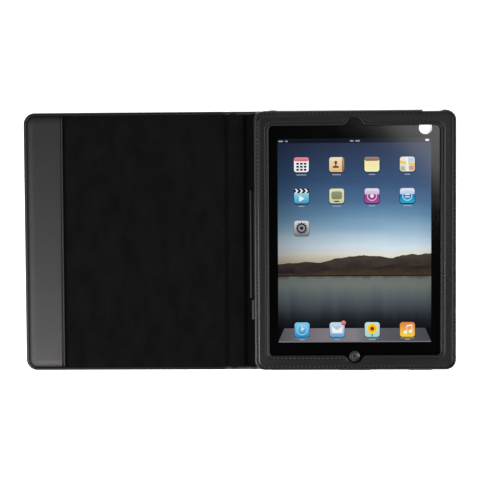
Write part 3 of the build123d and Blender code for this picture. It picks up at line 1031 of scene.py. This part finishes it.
tab_left, tab_right = 12.9, tab_hi[0]
tab_section = np.array(
    [(tab_right - 0.2, 12.5), (13.4, 12.47), (12.98, 12.7), (tab_left, 13.1), (13.0, 13.5), (13.4, 13.76),
     (tab_right - 0.35, 13.8)]
)
tab_middle = tab_section.mean(0)
tab_y = places(tab_lo[1], (tab_lo[1] + 0.8, 0.2), (tab_hi[1] - 0.8, 1.0), (tab_hi[1], 0.2))
tab = strip(
    "frame_edge_tab_leather",
    tab_y,
    lambda y, near: tab_middle + (tab_section - tab_middle) * (0.55 + 0.45 * float(rolled(near, 0.8))),
)

# suede turned over the back board at the mouth, beside the floor of the bay
# distance from the middle, lower and upper height
HEM_SECTION = [
    (120.6, 2.92, 3.0), (121.0, 2.92, 3.06), (121.5, 2.22, 3.04), (122.4, 2.22, 2.86), (123.6, 2.22, 2.6),
    (124.6, 1.6, 2.3),
]
hems = Piece("mouth_hems", lining_suede)
hem_loop = [(y, low) for y, low, high in HEM_SECTION] + [(y, high) for y, low, high in HEM_SECTION[::-1]]
for side in (-1, 1):
    hem_x = spaced(bay_lo[0] - 0.1, 25.0, 1.2)
    hems.sweep(np.array([[(x, side * y, z) for y, z in hem_loop] for x in hem_x]))
hems = hems.finish(sharp=60)

# closing flap: one strip of leather that rolls up round the tablet's edge and goes in under the frame
flap_line = np.array(
    [
        (14.5, 2.75), (13.4, 3.0), (12.1, 3.8), (11.2, 5.2), (11.0, 7.0), (11.0, 9.0), (11.15, 10.6),
        (11.6, 11.8), (12.4, 12.3), (13.2, 12.0), (14.0, 11.5), (14.8, 11.7), (15.8, 12.35), (17.2, 12.62),
        (20.0, 12.64), (23.2, 12.64),
    ]
)
t = path_lengths(flap_line)
curve = np.stack([np.interp(np.linspace(0, t[-1], 44), t, flap_line[:, k]) for k in range(2)], -1)
for _ in range(4):
    curve[1:-1] = 0.25 * curve[:-2] + 0.5 * curve[1:-1] + 0.25 * curve[2:]
ahead = np.gradient(curve, axis=0)
ahead /= np.linalg.norm(ahead, axis=1, keepdims=True)
curve_out = np.stack([-ahead[:, 1], ahead[:, 0]], -1)
reach = path_lengths(curve)


def flap_section(y, near):
    """The flap is thin at its edges, pressed in along its end seams, and sags a little."""
    edge = np.minimum(float(rolled(near, 0.5)), rolled(reach[-1] - reach, 0.6))
    thick = 0.30 * np.maximum(edge, 0.04)
    sag = 0.12 * math.sin(y * 0.11 + 0.6) * np.sin(math.pi * np.clip(reach / 12.0, 0, 1)) * (thick > 0.1)
    upper = curve + curve_out * (thick - 0.10 * hump(near, 2.0, 0.5) + sag)[:, None]
    lower = curve + curve_out * (sag - thick)[:, None]
    return np.concatenate([upper, lower[::-1]])


flap_y = places(flap_lo[1], (flap_lo[1] + 1.2, 0.15), (flap_hi[1] - 1.2, 1.6), (flap_hi[1], 0.15))
flap = strip("closing_flap_leather", flap_y, flap_section)


def flap_painted_shade(x, y, z):
    """Painted shade on the strip where it goes in under the frame."""
    return smooth(x, 12.2, 13.0) * smooth(z, 10.2, 11.4)


mark_painted_shade_and_polish(flap, flap_painted_shade)

# ---------------------------------------------------------------- home key
home = Piece("home_key_disc", key_grey, key_mark)
home_at = (home_lo[:2] + home_hi[:2]) / 2
home_radius = (home_hi[0] - home_lo[0]) / 2
dish_radius = home_radius - 0.5
dish = [(r, 11.4 + 0.64 * (r / dish_radius) ** 2) for r in np.linspace(dish_radius, 0.001, 14)]
underside = [(0.0, 10.8), (home_radius, 10.8)]
shoulder = [(home_radius, 11.9), (home_radius - 0.12, 12.06), (home_radius - 0.3, 12.1)]
home.lathe(home_at, underside + shoulder + dish)
mark_turn = np.linspace(0, math.tau, 13)
home.lathe(home_at, [(2.35 + 0.32 * math.cos(a), 11.56 + 0.16 * math.sin(a)) for a in mark_turn], 1)
home = home.finish(sharp=60)

# ---------------------------------------------------------------- generic picture on the display
left_x, low_y, right_x, top_y = screen_lo[0], screen_lo[1], screen_hi[0], screen_hi[1]
screen_width = right_x - left_x
WATER_Y = -33.8
ICON = 14.2
COLUMN_PITCH = 33.9
TOP_ROW, SECOND_ROW, THIRD_ROW, DOCK_ROW = 73.4, 43.2, 12.4, -86.0
ROW_1, ROW_2, ROW_3, DOCK = (66.0, 80.6), (36.0, 50.6), (5.0, 19.6), (-93.2, -78.8)
VIGNETTE = [(0.0, 0.46), (0.2, 0.7), (0.45, 0.9), (0.7, 1.0), (0.9, 0.97), (1.0, 0.84)]
LAKE_SHADE = [(0.0, 0.74), (0.22, 0.96), (0.5, 1.04), (0.85, 1.0), (1.0, 0.9)]
SKY_TONES = [
    (0.0, (200, 182, 156)), (0.075, (226, 224, 214)), (0.146, (210, 226, 236)), (0.266, (150, 182, 206)),
    (0.387, (102, 142, 174)), (0.506, (77, 112, 149)), (0.667, (57, 84, 121)), (0.844, (50, 67, 98)),
    (1.0, (45, 54, 78)),
]
LAKE_TONES = [
    (0.0, (5, 6, 8)), (0.2, (14, 15, 20)), (0.333, (29, 33, 38)), (0.42, (43, 49, 55)),
    (0.513, (62, 68, 74)), (0.693, (87, 95, 98)), (0.857, (107, 114, 111)), (0.95, (106, 113, 108)),
    (1.0, (76, 80, 76)),
]
SHELF_TONES = [
    (0.0, (84, 80, 88)), (0.25, (122, 116, 122)), (0.5, (128, 127, 133)), (0.64, (92, 92, 100)),
    (1.0, (72, 72, 80)),
]
PURPLE_TONES = [
    (0.0, (164, 84, 152)), (0.55, (140, 60, 128)), (0.62, (206, 190, 220)), (1.0, (236, 232, 244)),
]
BLUE_TONES = [
    (0.0, (40, 176, 206)), (0.55, (30, 96, 180)), (0.62, (196, 206, 236)), (1.0, (232, 238, 248)),
]
air = {"streak": ((9.0, 60.0, 1.0), 0.09), "across": VIGNETTE, "mottle": 0.03}
water = {"streak": ((90.0, 9.0, 1.0), 0.16), "across": LAKE_SHADE, "mottle": 0.05}
land = {"streak": ((55.0, 110.0, 1.0), 1.1), "across": LAKE_SHADE, "mottle": 0.3}


def upward(low, high):
    return [(0.0, low), (1.0, high)]


# name: a plain tone, or the stops of a ramp, the heights it runs between, and other settings
TONES = {
    "sky": (SKY_TONES, (-22.0, top_y), air),
    "lake": (LAKE_TONES, (low_y, WATER_Y), water),
    "far_hill": (upward((32, 31, 35), (80, 70, 62)), (-36.0, -10.0), land),
    "near_hill": (upward((82, 64, 50), (46, 39, 36)), (-36.0, -24.0), land),
    "shore": (26, 23, 24),
    "status": (upward((17, 20, 30), (22, 26, 38)), (top_y - 4, top_y)),
    "white": (240, 243, 247),
    "soft_white": (188, 200, 212),
    "caption": (150, 164, 182),
    "drop_shade": (upward((20, 27, 44), (26, 36, 58)), (0.0, 80.0)),
    "pale_drop_shade": (84, 106, 124),
    "red": (upward((190, 40, 58), (238, 150, 160)), (75.0, 80.6)),
    "badge": (upward((200, 50, 60), (240, 150, 150)), (-82.0, -77.6)),
    "tan": (upward((226, 186, 132), (246, 226, 190)), ROW_1),
    "dark_tan": (upward((120, 82, 48), (176, 140, 96)), ROW_1),
    "brown": (112, 60, 34),
    "pad_head": (upward((116, 88, 76), (164, 140, 128)), (76.0, 80.6)),
    "yellow": (upward((250, 246, 196), (250, 240, 168)), ROW_1),
    "paper_line": (222, 206, 140),
    "map_base": (upward((226, 214, 196), (244, 232, 226)), ROW_1),
    "map_road": (246, 200, 84),
    "map_patch": (214, 150, 136),
    "map_water": (176, 212, 236),
    "map_green": (158, 196, 132),
    "pale_blue": (upward((96, 160, 214), (206, 228, 244)), DOCK),
    "pale_teal": (upward((168, 214, 214), (196, 230, 226)), DOCK),
    "cyan": (upward((44, 150, 196), (172, 232, 244)), ROW_2),
    "charcoal": (30, 32, 36),
    "cream": (upward((206, 206, 160), (226, 224, 190)), ROW_2),
    "olive": (upward((112, 124, 84), (158, 160, 132)), ROW_2),
    "purple": (PURPLE_TONES, ROW_2),
    "blue": (BLUE_TONES, ROW_2),
    "rose": (232, 180, 220),
    "ice": (168, 224, 246),
    "blue_low": (upward((16, 132, 200), (128, 208, 240)), DOCK),
    "grey": (upward((110, 112, 116), (216, 218, 222)), ROW_3),
    "mid_grey": (150, 152, 156),
    "dark": (46, 46, 50),
    "orange": (upward((252, 214, 60), (232, 122, 72)), DOCK),
    "petal": (250, 190, 30),
    "petal_tip": (255, 216, 84),
    "leaf": (74, 128, 70),
    "shelf": (SHELF_TONES, (left_x, right_x), {"axis": 0}),
    "shelf_low": (70, 71, 78),
    "shelf_edge": (120, 120, 127),
    "cool_reflection": (92, 132, 156),
    "warm_reflection": (160, 128, 86),
}


def tone_material(name, entry):
    if isinstance(entry[0], int):
        entry = (upward(entry, entry), (0.0, 1.0))
    stops, between, settings = entry if len(entry) == 3 else (*entry, {})
    return glowing_print(name, [(at, srgb(*rgb)) for at, rgb in stops], between=between, **settings)


tone_names = list(TONES)
picture = Piece("screen_picture", *(tone_material(name, TONES[name]) for name in tone_names))
origin = [0.0, 0.0]


def flat(points, layer, tone):
    """A flat shape of the picture. Its points count from the middle of the icon being drawn."""
    points = np.asarray(points, float) + origin
    z = screen_hi[2] + 0.012 + 0.012 * layer
    picture.polygon(np.c_[points, np.full(len(points), z)], tone_names.index(tone))


def box(x0, y0, x1, y1, layer, tone):
    flat([(x0, y0), (x1, y0), (x1, y1), (x0, y1)], layer, tone)


def tile(cx, cy, width, height, radius, layer, tone):
    flat(rounded_rectangle(width, height, radius, 6) + (cx, cy), layer, tone)


def disc(cx, cy, radius, layer, tone, count=28):
    flat(ring_points((cx, cy), radius, 0, count)[:, :2], layer, tone)


def bars(cy, count, width, gap, layer, tone, height):
    for k in range(count):
        tile(0, cy - gap * (k - (count - 1) / 2), width, height, height / 2, layer, tone)


def wheel(cy, distance, radius, layer, tone, turn, sides):
    """Twelve small discs in a ring."""
    for k in range(12):
        a = (k + turn) / 12 * math.tau
        disc(distance * math.cos(a), cy + distance * math.sin(a), radius, layer, tone, sides)


def icon(column, row, base, caption, shade="drop_shade"):
    """The tile of an icon with its shade and caption bar. What is drawn next counts from its middle."""
    origin[:] = [window_x + (column - 1.5) * COLUMN_PITCH, row]
    tile(0, -0.7, ICON + 1.0, ICON + 0.6, 2.8, 5, shade)
    tile(0, 0, ICON, ICON, 2.4, 6, base)
    tile(0, -ICON / 2 - 2.6, caption, 1.0, 0.5, 6, "caption")


def hills(seed, heights, rough, layer, tone):
    """A ridge line through a few heights, broken up at smaller and smaller sizes."""
    pick = random.Random(seed)
    heights, size = np.array(heights), rough
    while len(heights) < 120:
        between = (heights[:-1] + heights[1:]) / 2
        merged = np.empty(len(heights) + len(between))
        shifts = np.array([pick.uniform(-size, size) for _ in between])
        merged[0::2], merged[1::2] = heights, between + shifts
        heights, size = merged, size * 0.52
    xs = np.linspace(left_x, right_x, len(heights))
    y = np.maximum(heights, WATER_Y + 0.6)
    for k in range(len(xs) - 1):
        corners = [(xs[k], WATER_Y), (xs[k + 1], WATER_Y), (xs[k + 1], y[k + 1]), (xs[k], y[k])]
        flat(corners, layer, tone)


box(left_x, WATER_Y, right_x, top_y, 0, "sky")
box(left_x, low_y, right_x, WATER_Y, 0, "lake")
hills(5, [-22.5, -21.0, -15.0, -17.0, -12.5], 2.0, 1, "far_hill")
hills(8, [-31.5, -26.5, -25.0], 2.6, 2, "near_hill")
box(left_x, WATER_Y - 0.5, right_x, WATER_Y + 0.5, 3, "shore")
box(left_x, top_y - 4.0, right_x, top_y, 3, "status")
for cx, width in ((left_x + 3.2, 4.6), (left_x + 8.6, 2.4), (window_x - 2.4, 3.6), (window_x + 3.2, 4.4)):
    tile(cx, top_y - 2.3, width, 1.3, 0.6, 4, "caption")
tile(right_x - 3.8, top_y - 1.9, 3.8, 1.9, 0.9, 4, "white")

# first row: month page, address book, ruled pad, map
icon(0, TOP_ROW, "white", 9.6)
tile(0, 5.2, ICON, 3.8, 1.8, 7, "red")
for i in range(3):
    for j in range(3):
        tile((i - 1) * 3.6, 1.0 - j * 2.9, 2.5, 1.9, 0.3, 7, "charcoal")
icon(1, TOP_ROW, "tan", 8.6)
tile(6.0, 0, 1.7, ICON - 1.4, 0.5, 7, "dark_tan")
disc(-0.8, 2.0, 1.5, 7, "brown")
tile(-0.8, -0.6, 1.3, 3.0, 0.6, 7, "brown")
tile(-0.8, -2.3, 6.0, 1.9, 0.9, 7, "brown")
icon(2, TOP_ROW, "yellow", 6.2)
tile(0, 5.2, ICON, 3.8, 1.8, 7, "pad_head")
bars(-2.0, 5, 11.0, 1.8, 7, "paper_line", 0.3)
icon(3, TOP_ROW, "map_base", 5.6)
tile(3.6, 4.0, 5.6, 4.4, 1.2, 7, "map_water")
tile(-4.4, -4.2, 3.8, 4.0, 1.0, 7, "map_green")
tile(4.0, -3.6, 4.6, 4.4, 1.0, 7, "map_patch")
flat([(-7.1, 1.0), (7.1, -1.4), (7.1, 0.8), (-7.1, 3.4)], 8, "map_road")
flat([(-0.6, -7.1), (1.4, -7.1), (0.6, 7.1), (-1.2, 7.1)], 9, "white")
# second row: film board, picture tube, disc, double bar
icon(0, SECOND_ROW, "cyan", 5.8)
tile(0, 5.0, ICON, 4.2, 1.2, 7, "charcoal")
for a in (-4.6, 0.0, 4.6):
    flat([(a - 2.0, 3.0), (a - 0.2, 3.0), (a + 1.6, 5.0), (a - 0.2, 5.0)], 8, "white")
    flat([(a - 0.2, 5.0), (a + 1.6, 5.0), (a - 0.2, 7.0), (a - 2.0, 7.0)], 8, "white")
flat([(-2.2, -5.4), (3.0, -2.4), (-2.2, 0.6)], 7, "white")
icon(1, SECOND_ROW, "cream", 8.6)
tile(0, 0.6, 10.4, 7.6, 2.4, 7, "olive")
tile(0, -5.2, 5.0, 1.2, 0.5, 7, "dark")
icon(2, SECOND_ROW, "purple", 6.6)
disc(0, -0.2, 4.9, 7, "rose")
disc(0, -0.2, 3.9, 8, "purple")
disc(0, -0.2, 1.7, 9, "white")
icon(3, SECOND_ROW, "blue", 8.8)
disc(0, -0.2, 4.9, 7, "ice")
disc(0, -0.2, 3.9, 8, "blue")
bars(-0.2, 2, 4.8, 2.2, 9, "white", 0.9)
# third row: toothed dial
icon(0, THIRD_ROW, "grey", 6.8, "pale_drop_shade")
wheel(0, 4.7, 0.9, 7, "dark", 0, 8)
disc(0, 0, 4.6, 7, "dark")
disc(0, 0, 3.3, 8, "mid_grey")
disc(0, 0, 1.8, 9, "dark")
# shelf, and what its icons throw on it
origin[:] = [0.0, 0.0]
inset_x = left_x + 5.8, right_x - 5.8
edge_x = left_x + 0.2, right_x - 0.2
flat([(inset_x[0], -84.6), (inset_x[1], -84.6), (edge_x[1], -97.2), (edge_x[0], -97.2)], 4, "shelf")
box(edge_x[0], -98.2, edge_x[1], -97.2, 4, "shelf_edge")
for k in range(4):
    glow = "warm_reflection" if k == 3 else "cool_reflection"
    tile(window_x + (k - 1.5) * COLUMN_PITCH, DOCK_ROW - 8.2, ICON - 1.2, 1.5, 0.5, 5, glow)
# its four icons: clock, letter, flower, notes
icon(0, DOCK_ROW, "blue_low", 5.6, "shelf_low")
disc(0, 0, 5.3, 7, "ice")
disc(0, 0, 4.6, 8, "blue_low")
flat([(-0.5, -1.0), (0.5, -1.0), (0.4, 3.9), (-0.4, 3.9)], 9, "white")
flat([(-0.8, -0.1), (-0.1, -0.8), (2.7, 1.7), (2.1, 2.3)], 9, "white")
icon(1, DOCK_ROW, "pale_blue", 4.8, "shelf_low")
tile(0, 0, 10.4, 6.8, 0.6, 7, "white")
flat([(-5.0, 3.3), (0, -0.5), (5.0, 3.3)], 8, "soft_white")
disc(6.2, 6.4, 2.3, 9, "badge")
icon(2, DOCK_ROW, "pale_teal", 7.2, "shelf_low")
tile(0, -4.6, 1.1, 4.6, 0.4, 7, "leaf")
wheel(0.8, 3.9, 1.35, 8, "petal_tip", 0.5, 12)
disc(0, 0.8, 3.9, 9, "petal")
disc(0, 0.8, 1.9, 10, "brown")
icon(3, DOCK_ROW, "orange", 4.8, "shelf_low")
disc(-2.0, -2.8, 1.8, 7, "white")
disc(3.0, -1.8, 1.8, 7, "white")
box(-0.9, -2.6, -0.3, 4.0, 7, "white")
box(4.1, -1.6, 4.7, 5.0, 7, "white")
flat([(-0.9, 2.6), (4.7, 3.6), (4.7, 5.0), (-0.9, 4.0)], 8, "white")
picture = picture.finish(weld=0, outward=False, sharp=20)

# ---------------------------------------------------------------- sockets and hole in the tablet
sockets = Piece("tablet_sockets", socket_steel, painted_socket_shade)


def socket(shape, centre, along):
    """A thin frame round a flat black face on the edge of the tablet: painted shade in place of a deep
    socket.
    """
    rows = [(1.0, 0.02), (0.97, 0.12), (0.84, 0.12), (0.82, 0.03)]
    rings = [on_wall(shape * share, centre, along, out_by) for share, out_by in rows]
    sockets.grid(np.stack(rings, 0), wrap_v=True)
    sockets.polygon(rings[-1], 1)
    sockets.polygon(rings[0][::-1], 1)


socket(rounded_rectangle(22.0, 3.0, 1.2), (window_x, shell_lo[1], KEY_Z), RIGHT)
socket(rounded_rectangle(5.2, 5.2, 2.58), (HEADPHONE_X, shell_hi[1], KEY_Z), LEFT)
for k in range(7):
    socket(rounded_rectangle(1.6, 1.6, 0.78, 4), (SPEAKER_X + (k - 3) * 2.6, shell_lo[1], KEY_Z), RIGHT)
sockets = sockets.finish()

# pale sleeve in the tablet's own camera hole: distance in from the hole's wall, height
SLEEVE_SECTION = [(0.02, 3.6), (0.02, 12.1), (0.14, 12.18), (0.26, 12.1), (0.26, 3.6), (0.02, 3.6)]
sleeve = Piece("camera_hole_sleeve", sleeve_white)
sleeve.lathe(CAMERA_AT, [(TABLET_HOLE_RADIUS - inset, z) for inset, z in SLEEVE_SECTION])
sleeve = sleeve.finish()


# ---------------------------------------------------------------- floor of the bay
def bay_top(x, y, d):
    return bay_lo[2] + (bay_hi[2] - bay_lo[2]) * rolled(d, 1.2) + waves(x, y, 8, 60, 0.04) * smooth(d, 1, 6)


def bay_bottom(x, y, d):
    return np.full_like(d, bay_lo[2])


# suede stretched over the board, with its edges turned down
bay_columns = places(bay_lo[0], (bay_lo[0] + 1.2, 0.3), (bay_hi[0] - 9.0, 4.0), (bay_hi[0], 0.6))
bay_edge = places(0, (1.2, 0.3), (9.0, 1.3))
bay = Piece("bay_suede_floor", lining_suede)
plate(bay, bay_columns, bay_hi[1], None, BAY_CORNER, bay_edge, 4.0, bay_top, bay_bottom)
bay = bay.finish()
cut_camera_hole(bay, 0, 6)

# ---------------------------------------------------------------- CAD nodes that stay, with their finish
NODE_FINISH = {
    grey_board: ("cover_board", "spine_board", "back_board", "frame_board"),
    shell_grey: ("tablet_shell",),
    face_black: ("tablet_glass_face",),
    key_grey: ("power_button", "volume_rocker", "side_switch"),
}
for finish, nodes in NODE_FINISH.items():
    for node in nodes:
        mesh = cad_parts[node].data
        mesh.materials.clear()
        mesh.materials.append(finish)

# ---------------------------------------------------------------- what each piece is and moves with
# piece, record slot, body that it rides on (None where the piece spans a fold), CAD nodes that it stands for
PARTS = [
    (cover_leather, "outer_leather", None, ["cover_skin", "cover_fold_skin"]),
    (back_leather, "outer_leather", None, ["spine_skin", "tray_fold_skin", "back_skin"]),
    (lip, "outer_leather", "tray", []),
    (cover_pad, "suede", None, ["cover_lining", "cover_foam", "cover_fold_lining"]),
    (spine_pad, "suede", None, ["spine_lining", "tray_fold_lining"]),
    (bay, "suede", "tray", ["bay_lining"]),
    (hems, "suede", "tray", []),
    (band, "band_leather", "front_cover", ["cover_band"]),
    (tray_frame, "frame_leather", "tray", ["frame_leather", "frame_piping", "window_hem"]),
    (walls, "frame_leather", "tray", ["wall_top", "wall_bottom", "wall_right"]),
    (bindings, "frame_leather", "tray", []),
    (tab, "frame_leather", "tray", ["frame_edge_tab"]),
    (flap, "frame_leather", "closing_flap", ["closure_flap"]),
    (home, "dummy_key", "home_key", ["home_button"]),
    (picture, "screen", "display_tablet", ["screen_print"]),
    (sockets, "dummy_key", "display_tablet", []),
    (sleeve, "dummy_key", "display_tablet", []),
]
for piece, slot, body, nodes in PARTS:
    if nodes:
        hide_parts(*nodes)
    if body:
        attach(piece, body)

for piece, left, right, x in (
    (cover_leather, "front_cover", "spine", fold_cover_x * MM),
    (cover_pad, "front_cover", "spine", fold_cover_x * MM),
    (back_leather, "spine", "tray", fold_tray_x * MM),
    (spine_pad, "spine", "tray", fold_tray_x * MM),
):
    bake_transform(piece)

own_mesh(flap)

# ---------------------------------------------------------------- floor, light and camera
FLOOR_HALF = 25
floor_nodes = Nodes("floor_pale")
floor_tone = floor_nodes.mix(floor_nodes.noise(3.0, 2.0), (0.93, 0.93, 0.93), (0.95, 0.95, 0.95))
floor_look = {"Specular_IOR_Level": 0.1, "Emission_Color": floor_tone, "Emission_Strength": 0.85}
floor_mesh = bpy.data.meshes.new("floor")
floor_corners = [(x * FLOOR_HALF, y * FLOOR_HALF, 0) for x, y in ((-1, -1), (1, -1), (1, 1), (-1, 1))]
floor_mesh.from_pydata(floor_corners, [], [(0, 1, 2, 3)])
floor_mesh.materials.append(floor_nodes.surface(floor_tone, 0.9, **floor_look))
floor = bpy.data.objects.new("floor", floor_mesh)
floor.location.z = -0.0003
bpy.context.scene.collection.objects.link(floor)


def softbox(name, where, target, size, watts, turn=0.0, tint=(1, 1, 1)):
    light = bpy.data.lights.new(name, "AREA")
    light.shape = "RECTANGLE"
    light.size, light.size_y = size
    light.energy = watts
    light.color = tint
    obj = bpy.data.objects.new(name, light)
    obj.location = where
    aim = (Vector(target) - Vector(where)).to_track_quat("-Z", "Y")
    obj.rotation_euler = (aim @ Quaternion((0, 0, 1), math.radians(turn))).to_euler()
    bpy.context.scene.collection.objects.link(obj)


ROSY = (1, 0.955, 0.965)
softbox("lower_left_softbox", (-0.53, -0.60, 1.27), (-0.18, -0.14, 0), (0.5, 0.42), 8.8, tint=ROSY)
softbox("glass_softbox", (0.575, 0.285, 1.50), (0.575, 0.285, 0), (0.32, 0.5), 1.45, turn=42)
softbox("left_low_softbox", (-1.2, -0.5, 1.0), (0.05, 0, 0), (1.3, 0.55), 18)
softbox("right_low_softbox", (1.35, -0.1, 1.0), (0.1, 0, 0), (1.3, 0.55), 17)
softbox("back_softbox", (-0.1, 1.5, 0.8), (0, 0, 0), (1.8, 0.9), 6)
softbox("front_softbox", (0.1, -1.5, 0.8), (0, 0, 0), (1.8, 0.9), 6)

# The backdrop is pale where the camera sees it and lights the case hardly at all.
world = bpy.data.worlds.new("studio")
world.use_nodes = True
backdrop = world.node_tree.nodes["Background"]
backdrop.inputs["Color"].default_value = (1, 1, 1, 1)
seen = world.node_tree.nodes.new("ShaderNodeLightPath")
strength = world.node_tree.nodes.new("ShaderNodeMath")
strength.operation = "MULTIPLY_ADD"
strength.inputs[1].default_value = 0.79
strength.inputs[2].default_value = 0.01
world.node_tree.links.new(seen.outputs["Is Camera Ray"], strength.inputs[0])
world.node_tree.links.new(strength.outputs[0], backdrop.inputs["Strength"])
bpy.context.scene.world = world
bpy.context.scene.view_settings.view_transform = "Standard"

camera_data = bpy.data.cameras.new("camera")
camera_data.lens = 64.4
camera_data.sensor_width = 36.0
camera = bpy.data.objects.new("camera", camera_data)
camera.location = (0.0148, 0.0257, 0.8416)
camera.rotation_euler = tuple(math.radians(a) for a in (-1.689, 0.893, -0.364))
bpy.context.scene.collection.objects.link(camera)
bpy.context.scene.camera = camera
